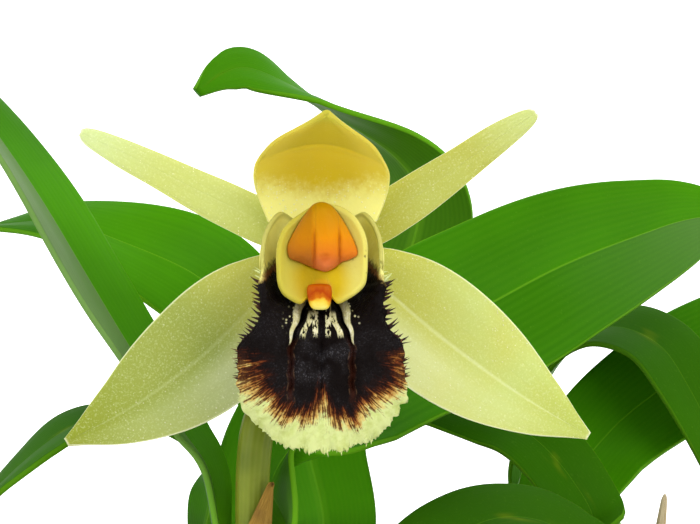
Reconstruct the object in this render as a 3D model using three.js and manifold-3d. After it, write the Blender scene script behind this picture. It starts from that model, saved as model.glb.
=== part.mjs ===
// Coelogyne orchid in flower, growing in a plain clay pot of bark.
// Millimetres, +Z up. The origin is the middle of the pot's foot, and the flower looks towards -Y.
import * as THREE from "three";
import { mergeVertices } from "three/addons/utils/BufferGeometryUtils.js";
import Module from "manifold-3d";

const wasm = await Module();
wasm.setup();

// ---------- driving dimensions ----------

const SEAT_GAP = 0.3; // clearance between a piece and what carries it
const GOLDEN_ANGLE = Math.PI * (3 - Math.sqrt(5));

const POT = {
  height: 86,
  footRadius: 35,
  bandRadius: 46, // body radius just under the rim band
  rimRadius: 50,
  bandHeight: 15,
  bandStep: 2.6,
  wall: 5,
  floor: 6,
  lipRound: 1.6,
  sides: 36,
  drainHoles: 3,
  drainRadius: 4,
  drainCircle: 18,
};

const BARK = {
  top: 75, // height of the packed bark below the loose chips
  chips: 28,
  chipLength: [14, 24],
  chipThickness: [3.5, 6],
  chipRise: [0.9, 2.2], // how far a chip's middle lies above the packed bark
  belowRim: 2,
  heap: 6, // rise of the heap's limit from the brim to the middle
  seed: 11,
};

const RHIZOME = { radius: 2.1, height: 80.5, rootRadius: 0.9, sides: 7 };

const BULB = { footRadius: 3.2, apexRadius: 2.9, ribs: 5, ribDepth: 0.07, sides: 10, rows: 7 };

const LEAF = {
  thickness: 0.8,
  petioleOffset: 2.05, // from the middle of the pseudobulb's top
  petioleFold: 0.5,
  petioleShare: 0.3,
  stations: 14,
  across: 4,
};

const FLOWER = {
  centre: [3, -30, 146], // front of the column's base, from the pot's foot
  tilt: 10, // degrees that the flower looks up
  tepal: 0.7, // thickness of sepals and petals
  lip: 0.7,
};

const COLOURS = {
  clay: 0xb5694a,
  bark: 0x5b3a26,
  rhizome: 0x8a6a42,
  bulb: 0x8fae4a,
  leaf: 0x3f8f12,
  stem: 0x9aa648,
  sheath: 0xb9823c,
  dry: 0xd9cfae,
  tepal: 0xd0d47a,
  hood: 0xd3b936,
  lip: 0x2a1412,
  column: 0xe2d766,
  anther: 0xf09a1c,
};

// Share of the full width at each share of the length.
const LEAF_PROFILE = [
  [0, 0.26], [0.1, 0.34], [0.22, 0.68], [0.38, 0.94], [0.55, 1],
  [0.74, 0.86], [0.88, 0.56], [0.96, 0.26], [1, 0.06],
];
const BROAD_PROFILE = [
  [0, 0.26], [0.08, 0.66], [0.18, 0.84], [0.38, 0.98], [0.5, 1.02], [0.62, 0.9], [0.75, 0.7],
  [0.86, 0.55], [0.94, 0.4], [1, 0.08],
];
const CLASPING_PROFILE = [
  [0, 0.12], [0.06, 0.14], [0.13, 0.52], [0.22, 0.75], [0.36, 0.9], [0.55, 1], [0.74, 0.86],
  [0.88, 0.56], [0.96, 0.26], [1, 0.06],
];
const STALKED_PROFILE = [
  [0, 0.26], [0.12, 0.22], [0.3, 0.3], [0.44, 0.8], [0.58, 1], [0.76, 0.86], [0.88, 0.56],
  [0.96, 0.26], [1, 0.06],
];
const SLENDER_PROFILE = [
  [0, 0.26], [0.1, 0.34], [0.22, 0.6], [0.38, 0.8], [0.55, 0.8], [0.74, 0.68], [0.88, 0.46],
  [0.96, 0.22], [1, 0.06],
];

// ---------- growths: one pseudobulb each, with its leaves ----------

// apex is the middle of a pseudobulb's top. A leaf's spine runs from its petiole to its tip, and facing gives
// where its upper face looks at the petiole, in the middle and at the tip.
const GROWTHS = [
  {
    name: "a",
    apex: [-2.4, -27.4, 117.5],
    foot: [-3.5, -23.5],
    radius: 6.2,
    leaves: [
      {
        away: [-1, 0.25],
        spine: [
          [-6.2, -24, 127], [-8.4, -22.2, 130], [-12.7, -18.6, 136], [-16, -16.2, 141],
          [-19.6, -13.2, 146.4], [-23.2, -9.8, 151], [-27.5, -5.8, 156], [-32, -1, 160.5],
        ],
        facing: [[1, -0.3, 0.1], [0.8, -0.34, 0.5], [0.78, -0.32, 0.54], [0.74, -0.3, 0.6]],
        halfWidth: 4.5,
        fold: 0.3,
        curl: 0.05,
      },
      {
        away: [1, 0.3],
        spine: [
          [-0.8, -21.8, 125.6], [2.4, -17.6, 129.4], [9, -12.6, 134], [16.7, -9.4, 137.6],
          [22.5, -7.4, 140.3], [29, -5.3, 142.5], [33.5, -3.8, 143.6], [38.5, -2.4, 143.6],
        ],
        facing: [[-1, -0.3, 0.2], [-0.3, -0.82, 0.5], [-0.1, -0.85, 0.52], [0, -0.8, 0.6]],
        halfWidth: 7.4,
        profile: CLASPING_PROFILE,
        baseFold: 0.5,
        baseShare: 0.5,
        fold: 0.2,
        curl: 0.1,
      },
    ],
  },
  {
    name: "b",
    apex: [-5, -12.5, 112.5],
    foot: [-9, -8],
    radius: 6.2,
    leaves: [
      {
        away: [0.7, 0.7],
        spine: [
          [-1.8, -8, 125], [-2, -6.6, 130.5], [-4, -6.4, 135.4], [-7.4, -6.8, 139.3],
          [-13.8, -6.8, 142.2], [-18.8, -6, 143.6], [-24.6, -4.8, 143],
        ],
        facing: [[-0.7, -0.7, 0.1], [-0.3, -0.9, 0.3], [0.1, -0.75, 0.65], [0.1, -0.1, 1]],
        halfWidth: 4.9,
        profile: STALKED_PROFILE,
        fold: 0.2,
        curl: 0.08,
      },
      {
        away: [-0.6, -0.8],
        spine: [
          [-5.8, -15.6, 124], [-8, -16.4, 127.6], [-11.8, -18.1, 129.8], [-15.8, -20.4, 130],
          [-19.4, -22.9, 128.1], [-23, -25.5, 125.1], [-26.4, -28, 121.9], [-29.4, -30.2, 118],
        ],
        facing: [[0.6, 0.8, 0.1], [0.3, 0, 0.95], [-0.12, -0.05, 1], [-0.62, 0.02, 0.79], [-0.75, 0, 0.66]],
        halfWidth: 4.7,
        profile: SLENDER_PROFILE,
        fold: 0.16,
        curl: 0.1,
      },
    ],
  },
  {
    name: "c",
    apex: [3, 1.5, 104.5],
    foot: [4, 4],
    radius: 6.6,
    leaves: [
      {
        away: [-0.5, -0.85],
        spine: [
          [3, -0.8, 117], [1.8, 0.6, 123.5], [2.6, 1.6, 128.4], [5.8, 2.4, 133.2], [9.8, 3.2, 138.8],
          [11, 3.8, 144.2], [8.9, 3.8, 148], [3.2, 2.5, 151.9], [-2.6, 0.7, 155.2], [-5.2, -0.8, 155.3],
          [-7.4, -2.2, 153.9],
        ],
        facing: [
          [0.5, 0.85, 0.1], [0.3, 1, 0.1], [0.1, 1, 0.05], [0.15, 0.95, 0.15], [0.35, 0.6, 0.5],
          [0.35, 0.1, 0.93], [-0.1, -1.1, 0.35],
        ],
        halfWidth: 5,
        profile: BROAD_PROFILE,
        fold: 0.15,
        curl: 0.05,
      },
      {
        away: [-0.3, 1],
        spine: [
          [2, 7.5, 109], [0.6, 14.5, 111], [-1.6, 23, 109.4], [-4, 31.5, 104], [-6, 39.5, 96],
          [-7.5, 45, 87],
        ],
        facing: [[0.3, -1, 0.1], [0.1, -0.4, 0.9], [0, 0.3, 0.95], [-0.1, 0.7, 0.6]],
        halfWidth: 4.9,
        fold: 0.24,
        curl: 0.1,
      },
    ],
  },
  {
    name: "d",
    apex: [23, -9, 109.5],
    foot: [19, -8],
    radius: 5.9,
    leaves: [
      {
        away: [-0.4, 0.9],
        spine: [
          [22.6, -3.4, 119.8], [26.9, 0, 124.7], [31.2, 2.1, 127.9], [35.4, 3.7, 130.3],
          [41, 5.3, 132.1], [48, 7, 132.8], [55.5, 8.5, 130.5],
        ],
        facing: [[0.4, -0.9, 0.2], [-0.2, -0.66, 0.72], [-0.1, -0.74, 0.66], [0.2, -0.5, 0.84]],
        halfWidth: 5.5,
        fold: 0.24,
        curl: 0.1,
      },
      {
        away: [0.5, -0.8],
        spine: [
          [25.1, -12.4, 119.6], [23, -11, 123.4], [20.3, -9.2, 126.1], [17.6, -7.4, 127.3],
          [13.8, -5.8, 128], [10, -4.6, 128.2], [6, -3.8, 127.4],
        ],
        facing: [[-0.5, 0.8, 0.2], [-0.3, -0.1, 0.95], [0, -0.6, 0.8], [0, -0.5, 0.85]],
        halfWidth: 3.2,
        fold: 0.2,
        curl: 0.1,
      },
    ],
  },
  {
    name: "e",
    apex: [20.5, 11, 108.5],
    foot: [18, 10],
    radius: 6.3,
    leaves: [
      {
        away: [0.2, -0.9],
        spine: [
          [20.6, 9, 119.5], [21.4, 8.4, 126.4], [24, 6.4, 131], [27.4, 3.4, 133],
          [30.8, 0, 132.2], [33, -3, 129.4], [35.8, -6.6, 123.8], [38.4, -10.6, 115.6],
        ],
        facing: [[-0.2, 0.9, 0.2], [-0.5, -0.1, 0.9], [0.3, -0.45, 0.84], [0.6, -0.5, 0.6]],
        halfWidth: 3.8,
        fold: 0.22,
        curl: 0.1,
      },
      {
        away: [0.2, 1],
        spine: [
          [21.4, 17.5, 112.6], [22, 24.5, 113], [23.4, 34, 110.8], [25.4, 43.5, 106.4],
          [27.5, 52, 102], [28, 58.5, 92],
        ],
        facing: [[-0.2, -1, 0.1], [-0.1, -0.3, 0.95], [0.1, 0.4, 0.9], [0.1, 0.8, 0.5]],
        halfWidth: 5.4,
        fold: 0.24,
        curl: 0.1,
      },
    ],
  },
  {
    name: "f",
    apex: [-14.5, 14, 101],
    foot: [-12.5, 11],
    radius: 6,
    leaves: [
      {
        away: [-1, 0.1],
        spine: [
          [-20, 14.5, 106.5], [-28.5, 15.5, 108.8], [-38, 16, 107], [-47.5, 15.5, 101],
          [-55.5, 14, 92],
        ],
        facing: [[1, 0, 0.1], [0.35, -0.2, 0.9], [-0.3, 0, 0.95], [-0.8, 0, 0.6]],
        halfWidth: 5.4,
        fold: 0.24,
        curl: 0.1,
      },
      {
        away: [0.6, 0.8],
        spine: [[-14, 20, 105], [-17.5, 28.5, 107], [-25, 38, 105], [-29.5, 46.5, 98.5], [-33, 53.5, 89.5]],
        facing: [[-0.6, -0.8, 0.1], [0.1, -0.3, 0.95], [-0.1, 0.4, 0.9], [-0.3, 0.8, 0.5]],
        halfWidth: 5.05,
        fold: 0.24,
        curl: 0.1,
      },
    ],
  },
  {
    name: "g",
    apex: [4, 23.5, 98],
    foot: [3, 20.5],
    radius: 5.4,
    leaves: [
      {
        away: [0.3, 1],
        spine: [[6, 29.5, 102.4], [8.6, 37, 103.6], [11, 45, 100.4], [12.6, 52.5, 93.5], [13.6, 58.5, 84]],
        facing: [[-0.3, -1, 0.1], [0, -0.3, 0.95], [0, 0.4, 0.9], [0.1, 0.8, 0.5]],
        halfWidth: 4.6,
        fold: 0.24,
        curl: 0.1,
      },
    ],
  },
  {
    name: "h",
    apex: [26, -22, 105],
    foot: [22, -21],
    radius: 5.4,
    leaves: [
      {
        away: [-0.3, 0.9],
        spine: [
          [25.6, -20.2, 115.6], [24.2, -20.4, 119], [21.8, -20.9, 121.3], [18.6, -21.7, 122.5],
          [15.2, -23.2, 122.3], [11.4, -25.6, 120.2], [7.2, -29.5, 115], [4.2, -33.5, 107.5],
        ],
        facing: [[0.3, -0.9, 0.2], [0, -0.3, 0.95], [-0.2, -0.4, 0.9], [-0.5, -0.6, 0.6]],
        halfWidth: 4.6,
        fold: 0.24,
        curl: 0.1,
      },
      {
        away: [0.9, -0.5],
        spine: [
          [31, -25.5, 110.5], [38, -30, 112.6], [46, -35.5, 110.5], [53, -40.5, 104],
          [58.5, -44.5, 95],
        ],
        facing: [[-0.9, 0.5, 0.1], [-0.2, 0.1, 0.95], [0.3, -0.2, 0.9], [0.6, -0.4, 0.6]],
        halfWidth: 5,
        fold: 0.24,
        curl: 0.1,
      },
    ],
  },
];

// Outlines of the sepals and petals, as for the leaves.
const LATERAL_PROFILE = [
  [0, 0.26], [0.1, 0.62], [0.25, 0.92], [0.42, 1], [0.62, 0.86], [0.82, 0.5], [0.95, 0.18],
  [1, 0.06],
];
const PETAL_PROFILE = [
  [0, 0.5], [0.12, 0.9], [0.3, 0.94], [0.5, 0.84], [0.7, 0.69], [0.85, 0.55], [0.94, 0.35],
  [1, 0.1],
];
const HOOD_PROFILE = [
  [0, 0.82], [0.1, 0.94], [0.2, 1], [0.32, 1.02], [0.42, 1], [0.52, 0.95], [0.62, 0.87],
  [0.71, 0.75], [0.8, 0.56], [0.9, 0.29], [0.96, 0.14], [1, 0.03],
];

// The lip in the flower's own frame: cross rows from its root to its apex, each from the middle out to its
// margin.
const LIP_ROWS = [
  [[0, 3.0, -2.6], [1.2, 3.0, -2.4], [2.3, 3.1, -1.5], [2.9, 3.1, -0.1], [2.9, 3.0, 1.2]],
  [[0, 1.0, -3.9], [1.7, 1.0, -3.7], [3.2, 1.1, -2.2], [4.1, 1.2, 0.1], [3.35, 1.15, 2.35]],
  [[0, -1.6, -4.9], [1.9, -1.7, -4.7], [3.7, -1.8, -3.2], [4.5, -1.7, -0.9], [4.3, -1.4, 0.9]],
  [[0, -3.4, -6.1], [2.0, -3.6, -6.0], [3.7, -3.8, -5.0], [4.4, -3.6, -3.4], [4.6, -3.1, -2.2]],
  [[0, -4.3, -8.2], [2.2, -4.5, -8.1], [4.0, -4.5, -7.5], [4.9, -4.1, -6.6], [5.3, -3.6, -5.8]],
  [[0, -4.7, -10.6], [2.5, -4.9, -10.5], [4.5, -4.7, -10.0], [5.6, -4.2, -9.4], [6.1, -3.6, -9.0]],
  [[0, -4.6, -13.1], [2.4, -4.9, -12.9], [4.4, -4.6, -12.3], [5.5, -4.1, -11.8], [6.2, -3.5, -11.4]],
  [[0, -3.7, -15.5], [1.6, -3.9, -15.3], [3.1, -3.7, -14.8], [4.2, -3.4, -14.1], [5.0, -3.1, -13.4]],
];
const KEELS = { at: 0.25, height: 0.75, from: 0.16, to: 0.8 };
const FRINGE = {
  onSides: 26, onApex: 30, length: 0.75, apexLength: 0.4, radius: 0.24, root: 0.45, from: 0.34, seed: 5,
};

// Rings of the column from the middle of its face round its hood to its foot: share of the outline, depth.
const COLUMN_RINGS = [
  [0.35, -2.3], [0.66, -2.5], [0.84, -3.4], [0.93, -3.95], [1, -3.6], [0.96, -2.2], [0.76, -0.6],
  [0.54, 1.2], [0.44, 3.0],
];
const COLUMN = { wide: 3.38, tall: 3.7, squareness: 2.8, sides: 24 };
const COLUMN_BROW = 1.5; // how far the top of the hood's rim lies behind its sides
const COLUMN_CENTRE = -0.75; // height of the hood's middle in the flower's frame
const TONGUE_CENTRE = -3.9;
const TONGUE_RINGS = [[0.5, -3.2], [1, -3.5], [1, -4.3], [0.55, -4.5]];
const TONGUE_OUTLINE = [
  [0.72, 0.5], [0.45, 0.88], [-0.75, 0.88], [-1.05, 0.55],
  [-0.95, -0.3], [-0.6, -0.88], [0.4, -0.88], [0.68, -0.3],
];
const ANTHER_CENTRE = 0.55;
const ANTHER_RINGS = [[0.5, -4.9], [0.82, -4.7], [1, -4.05], [0.96, -3.5], [0.7, -3.05]];
// A bell with a pointed top and a scalloped lower edge: X and Z about its middle.
const ANTHER_OUTLINE = [
  [2.51, -0.55], [2.13, 0.29], [1.68, 1.13], [1.22, 1.81], [0.69, 2.42], [0, 2.65], [-0.69, 2.42],
  [-1.3, 1.66], [-1.83, 0.82], [-2.29, -0.02], [-2.55, -0.78], [-2.36, -1.54], [-1.6, -1.85],
  [-0.91, -2.15], [-0.3, -2.4], [0.3, -2.53], [0.91, -2.3], [1.45, -1.85], [2.13, -1.62], [2.66, -1.25],
];

// ---------- small tools ----------

const v3 = (p) => new THREE.Vector3(...p);

// A level vector of this length, at this angle from +X.
const turnedOut = (length, angle) => new THREE.Vector3(length * Math.cos(angle), length * Math.sin(angle), 0);

function seededRandom(seed) {
  let state = seed;
  return () => {
    state = (state * 1664525 + 1013904223) % 4294967296;
    return state / 4294967296;
  };
}

// Smooth interpolation through [at, value] knots.
function profileAt(knots, t) {
  let k = 0;
  while (k < knots.length - 2 && t > knots[k + 1][0]) k++;
  const slope = (i) => {
    const low = knots[Math.max(i - 1, 0)];
    const high = knots[Math.min(i + 1, knots.length - 1)];
    return (high[1] - low[1]) / (high[0] - low[0]);
  };
  const [x0, y0] = knots[k];
  const [x1, y1] = knots[k + 1];
  const span = x1 - x0;
  const s = (t - x0) / span;
  return (
    y0 * (1 + 2 * s) * (1 - s) ** 2 +
    y1 * s * s * (3 - 2 * s) +
    slope(k) * span * s * (1 - s) ** 2 -
    slope(k + 1) * span * s * s * (1 - s)
  );
}

function mixed(list, t) {
  const at = t * (list.length - 1);
  const k = Math.min(Math.floor(at), list.length - 2);
  return v3(list[k]).lerp(v3(list[k + 1]), at - k);
}

function meshFrom(points, faces) {
  const geometry = new THREE.BufferGeometry();
  const numbers = points.flatMap((p) => p.toArray());
  geometry.setAttribute("position", new THREE.Float32BufferAttribute(numbers, 3));
  geometry.setIndex(faces.flat());
  return facingOut(geometry);
}

function facingOut(geometry) {
  const position = geometry.getAttribute("position");
  const index = geometry.index.array;
  const [a, b, c] = [new THREE.Vector3(), new THREE.Vector3(), new THREE.Vector3()];
  let volume = 0;
  for (let i = 0; i < index.length; i += 3) {
    a.fromBufferAttribute(position, index[i]);
    b.fromBufferAttribute(position, index[i + 1]);
    c.fromBufferAttribute(position, index[i + 2]);
    volume += a.dot(b.cross(c));
  }
  if (volume < 0) {
    for (let i = 0; i < index.length; i += 3) [index[i + 1], index[i + 2]] = [index[i + 2], index[i + 1]];
  }
  return geometry;
}

function solidOf(geometry) {
  const bare = geometry.clone();
  for (const name of Object.keys(bare.attributes)) if (name !== "position") bare.deleteAttribute(name);
  const merged = mergeVertices(bare, 1e-4);
  return new wasm.Manifold(
    new wasm.Mesh({
      numProp: 3,
      vertProperties: new Float32Array(merged.getAttribute("position").array),
      triVerts: new Uint32Array(merged.index.array),
    }),
  );
}

function geometryOf(solid) {
  const largest = solid.decompose().sort((a, b) => b.volume() - a.volume())[0];
  const mesh = largest.getMesh();
  const geometry = new THREE.BufferGeometry();
  geometry.setAttribute("position", new THREE.BufferAttribute(mesh.vertProperties, mesh.numProp));
  geometry.setIndex(new THREE.BufferAttribute(mesh.triVerts, 1));
  return geometry;
}

const joined = (geometries) => wasm.Manifold.union(geometries.map(solidOf));

// A closed sheet of even thickness round the surface point(u, v), with u from -1 to 1 across and v from 0 to
// 1 along. rise(u, v) lifts its front face further.
function sheet(point, across, along, thickness, rise = () => 0) {
  const step = 1e-3;
  const front = [];
  const back = [];
  for (let j = 0; j <= along; j++) {
    for (let i = 0; i <= across; i++) {
      const u = (2 * i) / across - 1;
      const v = j / along;
      const [u0, u1] = [Math.max(u - step, -1), Math.min(u + step, 1)];
      const [v0, v1] = [Math.max(v - step, 0), Math.min(v + step, 1)];
      const side = point(u1, v).sub(point(u0, v));
      const on = point(u, v1).sub(point(u, v0));
      const normal = side.cross(on).normalize();
      const middle = point(u, v);
      front.push(middle.clone().addScaledVector(normal, thickness / 2 + rise(u, v)));
      back.push(middle.clone().addScaledVector(normal, -thickness / 2));
    }
  }
  const at = (i, j) => j * (across + 1) + i;
  const behind = front.length;
  const faces = [];
  const quad = (a, b, c, d) => faces.push([a, b, c], [a, c, d]);
  for (let j = 0; j < along; j++) {
    for (let i = 0; i < across; i++) {
      const corners = [at(i, j), at(i + 1, j), at(i + 1, j + 1), at(i, j + 1)];
      quad(...corners);
      const [a, b, c, d] = corners.map((k) => k + behind);
      faces.push([a, c, b], [a, d, c]);
    }
  }
  const rim = [];
  for (let i = 0; i < across; i++) rim.push(at(i, 0));
  for (let j = 0; j < along; j++) rim.push(at(across, j));
  for (let i = across; i > 0; i--) rim.push(at(i, along));
  for (let j = along; j > 0; j--) rim.push(at(0, j));
  rim.forEach((a, k) => {
    const b = rim[(k + 1) % rim.length];
    quad(b, a, a + behind, b + behind);
  });
  return meshFrom([...front, ...back], faces);
}

// A closed skin over rings of points, with a flat fan on the first and the last.
function ringSolid(rings) {
  const sides = rings[0].length;
  const points = rings.flat();
  const faces = [];
  for (let r = 0; r < rings.length - 1; r++) {
    for (let s = 0; s < sides; s++) {
      const [a, b] = [r * sides + s, r * sides + ((s + 1) % sides)];
      faces.push([a, b, b + sides], [a, b + sides, a + sides]);
    }
  }
  for (const [r, turn] of [[0, true], [rings.length - 1, false]]) {
    const middle = points.length;
    points.push(rings[r].reduce((sum, p) => sum.add(p), new THREE.Vector3()).divideScalar(sides));
    for (let s = 0; s < sides; s++) {
      const [a, b] = [r * sides + s, r * sides + ((s + 1) % sides)];
      faces.push(turn ? [b, a, middle] : [a, b, middle]);
    }
  }
  return meshFrom(points, faces);
}

const splineThrough = (points) => new THREE.CatmullRomCurve3(points, false, "catmullrom", 0.5);

// A round stem along a smooth path, whose radius follows radiusAt(share of the length, angle).
function stem(path, radiusAt, stations, sides) {
  const curve = splineThrough(path.map(v3));
  const frames = curve.computeFrenetFrames(stations, false);
  const rings = [];
  for (let j = 0; j <= stations; j++) {
    const middle = curve.getPointAt(j / stations);
    const ring = [];
    for (let s = 0; s < sides; s++) {
      const angle = (2 * Math.PI * s) / sides;
      const radius = radiusAt(j / stations, angle);
      ring.push(
        middle
          .clone()
          .addScaledVector(frames.normals[j], radius * Math.cos(angle))
          .addScaledVector(frames.binormals[j], radius * Math.sin(angle)),
      );
    }
    rings.push(ring);
  }
  return ringSolid(rings);
}

// The middle surface of a leaf, sepal or petal.
function bladeSurface({ spine, facing, halfWidth, profile, fold, curl, baseFold = fold, baseShare = 1 }) {
  const curve = splineThrough(spine.map(v3));
  return (u, v) => {
    const tangent = curve.getTangentAt(v);
    const up = mixed(facing, v);
    up.addScaledVector(tangent, -up.dot(tangent)).normalize();
    const side = new THREE.Vector3().crossVectors(tangent, up);
    const reach = halfWidth * profileAt(profile, v);
    const opened = THREE.MathUtils.smoothstep(v, 0, baseShare);
    const lift = reach * (THREE.MathUtils.lerp(baseFold, fold, opened) * Math.abs(u) - curl * u * u);
    return curve.getPointAt(v).addScaledVector(side, u * reach).addScaledVector(up, lift);
  };
}

// ---------- the pot and what fills it ----------

function potRadiusInside(z) {
  const share = (z - POT.floor) / (POT.height - POT.bandHeight - POT.floor);
  return POT.footRadius - POT.wall + 1 + share * (POT.bandRadius - POT.footRadius - 1);
}

// A solid turned round the vertical axis from an outline of [radius, height] points.
function turned(outline) {
  const points = outline.map(([radius, height]) => new THREE.Vector2(radius, height));
  return solidOf(new THREE.LatheGeometry(points, POT.sides).rotateX(Math.PI / 2));
}

function makePot() {
  const bandFoot = POT.height - POT.bandHeight;
  const round = POT.lipRound;
  const innerTop = potRadiusInside(POT.height);
  const outline = [
    [0, 0],
    [POT.footRadius - 1, 0],
    [POT.footRadius, 1],
    [POT.bandRadius, bandFoot],
    [POT.bandRadius + POT.bandStep - 0.8, bandFoot],
    [POT.bandRadius + POT.bandStep, bandFoot + 0.8],
    [POT.rimRadius, POT.height - round],
    [POT.rimRadius - round, POT.height],
    [innerTop + round, POT.height],
    [innerTop, POT.height - round],
    [potRadiusInside(POT.floor), POT.floor],
    [0, POT.floor],
  ];
  const body = turned(outline);
  const holes = Array.from({ length: POT.drainHoles }, (_, k) => {
    const angle = (2 * Math.PI * (k + 0.5)) / POT.drainHoles;
    const hole = new THREE.CylinderGeometry(POT.drainRadius, POT.drainRadius, 4 * POT.floor, 20);
    hole.rotateX(Math.PI / 2);
    return hole.translate(POT.drainCircle * Math.cos(angle), POT.drainCircle * Math.sin(angle), 0);
  });
  return geometryOf(body.subtract(joined(holes)));
}

function barkChip(random, pick) {
  const length = pick(BARK.chipLength);
  const chip = new THREE.BoxGeometry(length, length * (0.45 + 0.3 * random()), pick(BARK.chipThickness));
  const position = chip.getAttribute("position");
  const moved = new Map();
  for (let i = 0; i < position.count; i++) {
    const corner = [position.getX(i), position.getY(i), position.getZ(i)];
    const key = corner.join();
    if (!moved.has(key)) moved.set(key, corner.map((c) => c * (0.72 + 0.5 * random())));
    position.setXYZ(i, ...moved.get(key));
  }
  chip.rotateX(0.5 * (random() - 0.5));
  chip.rotateY(0.5 * (random() - 0.5));
  chip.rotateZ(2 * Math.PI * random());
  return chip;
}

// Packed bark with loose chips on top, open where the rhizome and the pseudobulbs stand in it.
function makeBark(standing) {
  const random = seededRandom(BARK.seed);
  const pick = ([low, high]) => low + (high - low) * random();
  const inside = (z) => potRadiusInside(z) - SEAT_GAP;
  const bottom = POT.floor + SEAT_GAP;
  const brim = POT.height - BARK.belowRim;
  const side = [[0, bottom], [inside(bottom), bottom]];
  const packed = turned([...side, [inside(BARK.top), BARK.top], [0, BARK.top]]);
  const room = turned([...side, [inside(brim), brim], [0, brim + BARK.heap]]);
  const chips = [];
  for (let k = 0; k < BARK.chips; k++) {
    const reach = (inside(BARK.top) - 4) * Math.sqrt((k + 0.5) / BARK.chips);
    const angle = GOLDEN_ANGLE * k;
    const chip = barkChip(random, pick);
    chip.translate(reach * Math.cos(angle), reach * Math.sin(angle), BARK.top + pick(BARK.chipRise));
    chips.push(chip);
  }
  return geometryOf(packed.add(joined(chips)).intersect(room).subtract(joined(standing)));
}

// ---------- rhizome, roots and pseudobulbs ----------

const footOf = (growth) => [...growth.foot, RHIZOME.height];

function rhizomePaths() {
  const z = RHIZOME.height;
  const foot = Object.fromEntries(GROWTHS.map((g) => [g.name, footOf(g)]));
  return [
    [foot.a, [-7, -16, z], foot.b, [-4, -1, z], foot.c],
    [foot.h, [22, -14, z], foot.d, [12, -3, z], foot.c],
    [foot.e, [11, 5.5, z], foot.c],
    [foot.c, [3.5, 12, z], foot.g],
    [foot.f, [-5, 13, z], [3.5, 12, z]],
  ];
}

const ROOT_PATHS = [
  [[-3.5, -23.5, 80.5], [-10, -28, 80.6], [-18, -29, 78.6], [-25, -26, 76]],
  [[-3.5, -23.5, 80.5], [5, -29, 80.8], [13, -32, 79], [20, -30, 76]],
  [[19, -8, 80.5], [26, -11, 80.8], [31, -16, 79], [32, -20, 76]],
  [[18, 10, 80.5], [26, 12, 80.8], [32, 8, 79], [36, 3, 76]],
  [[-9, -8, 80.5], [-19, -9, 80.8], [-27, -7, 79], [-34, -9, 76]],
  [[-12.5, 11, 80.5], [-22, 10, 80.8], [-28, 14, 79], [-30, 20, 76]],
  [[1.5, 20.5, 80.5], [5, 27, 80.8], [2, 32, 79], [4, 36, 76]],
];

// The same path, this much longer at each end.
function lengthened(path, more) {
  const further = (end, before) => v3(end).add(v3(end).sub(v3(before)).setLength(more)).toArray();
  return [further(path[0], path[1]), ...path.slice(1, -1), further(path.at(-1), path.at(-2))];
}

function makeRhizome(swell = 0) {
  const thick = (t) => RHIZOME.radius * (1 + 0.08 * Math.sin(40 * t)) + swell;
  const thin = (t) => RHIZOME.rootRadius * (1 - 0.25 * t) + swell;
  const runner = (path) => stem(lengthened(path, swell), thick, 2 * path.length, RHIZOME.sides);
  const root = (path) => stem(lengthened(path, swell), thin, 6, 5);
  return geometryOf(joined([...rhizomePaths().map(runner), ...ROOT_PATHS.map(root)]));
}

function makeBulb(growth, swell = 0) {
  const foot = v3([...growth.foot, RHIZOME.height + RHIZOME.radius * 1.1 + SEAT_GAP - swell]);
  const apex = v3(growth.apex).add(new THREE.Vector3(0, 0, swell));
  const shape = [
    [0, BULB.footRadius], [0.14, 0.82 * growth.radius], [0.36, growth.radius],
    [0.62, 0.83 * growth.radius], [0.86, 0.55 * growth.radius], [1, BULB.apexRadius],
  ];
  const rings = [];
  for (let j = 0; j <= BULB.rows; j++) {
    const t = j / BULB.rows;
    const middle = foot.clone().lerp(apex, t);
    const ribbing = BULB.ribDepth * Math.sin(Math.PI * t);
    const ring = [];
    for (let s = 0; s < BULB.sides; s++) {
      const angle = (2 * Math.PI * s) / BULB.sides;
      const radius = profileAt(shape, t) * (1 + ribbing * Math.cos(BULB.ribs * angle)) + swell;
      ring.push(middle.clone().add(turnedOut(radius, angle)));
    }
    rings.push(ring);
  }
  return ringSolid(rings);
}

// ---------- leaves ----------

const CLEAR_OF_APEX = SEAT_GAP + 0.1; // a leaf or stem stands this far above its pseudobulb

function leafSpine(growth, leaf) {
  const away = new THREE.Vector3(leaf.away[0], leaf.away[1], 0).normalize();
  const root = v3(growth.apex).addScaledVector(away, LEAF.petioleOffset);
  root.z += CLEAR_OF_APEX;
  const risen = root.clone().addScaledVector(away, 0.9);
  risen.z += 5;
  return [root.toArray(), risen.toArray(), ...leaf.spine];
}

function makeLeaf(growth, leaf) {
  const surface = bladeSurface({
    profile: LEAF_PROFILE,
    baseFold: LEAF.petioleFold,
    baseShare: LEAF.petioleShare,
    ...leaf,
    spine: leafSpine(growth, leaf),
  });
  return sheet(surface, LEAF.across, LEAF.stations, LEAF.thickness);
}

// ---------- the flower stem, in the part's frame ----------

function flowerPoint(local) {
  return v3(local)
    .applyAxisAngle(new THREE.Vector3(1, 0, 0), THREE.MathUtils.degToRad(-FLOWER.tilt))
    .add(v3(FLOWER.centre));
}

const inFlower = (points) => points.map((p) => flowerPoint(p).toArray());

function stemPath() {
  const [x, y, z] = GROWTHS[0].apex;
  return [
    [x, y, z + CLEAR_OF_APEX],
    [x - 0.1, y + 0.1, z + 6],
    [x + 0.3, y + 0.6, z + 13],
    ...inFlower([[-3.6, 8.0, -10.5], [-2.6, 8.6, -6.6]]),
  ];
}

function makeFlowerStem() {
  const radius = (t) => 1.15 + 0.1 * t + 0.12 * Math.sin(Math.PI * t);
  return stem(stemPath(), radius, 14, 10);
}

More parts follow.
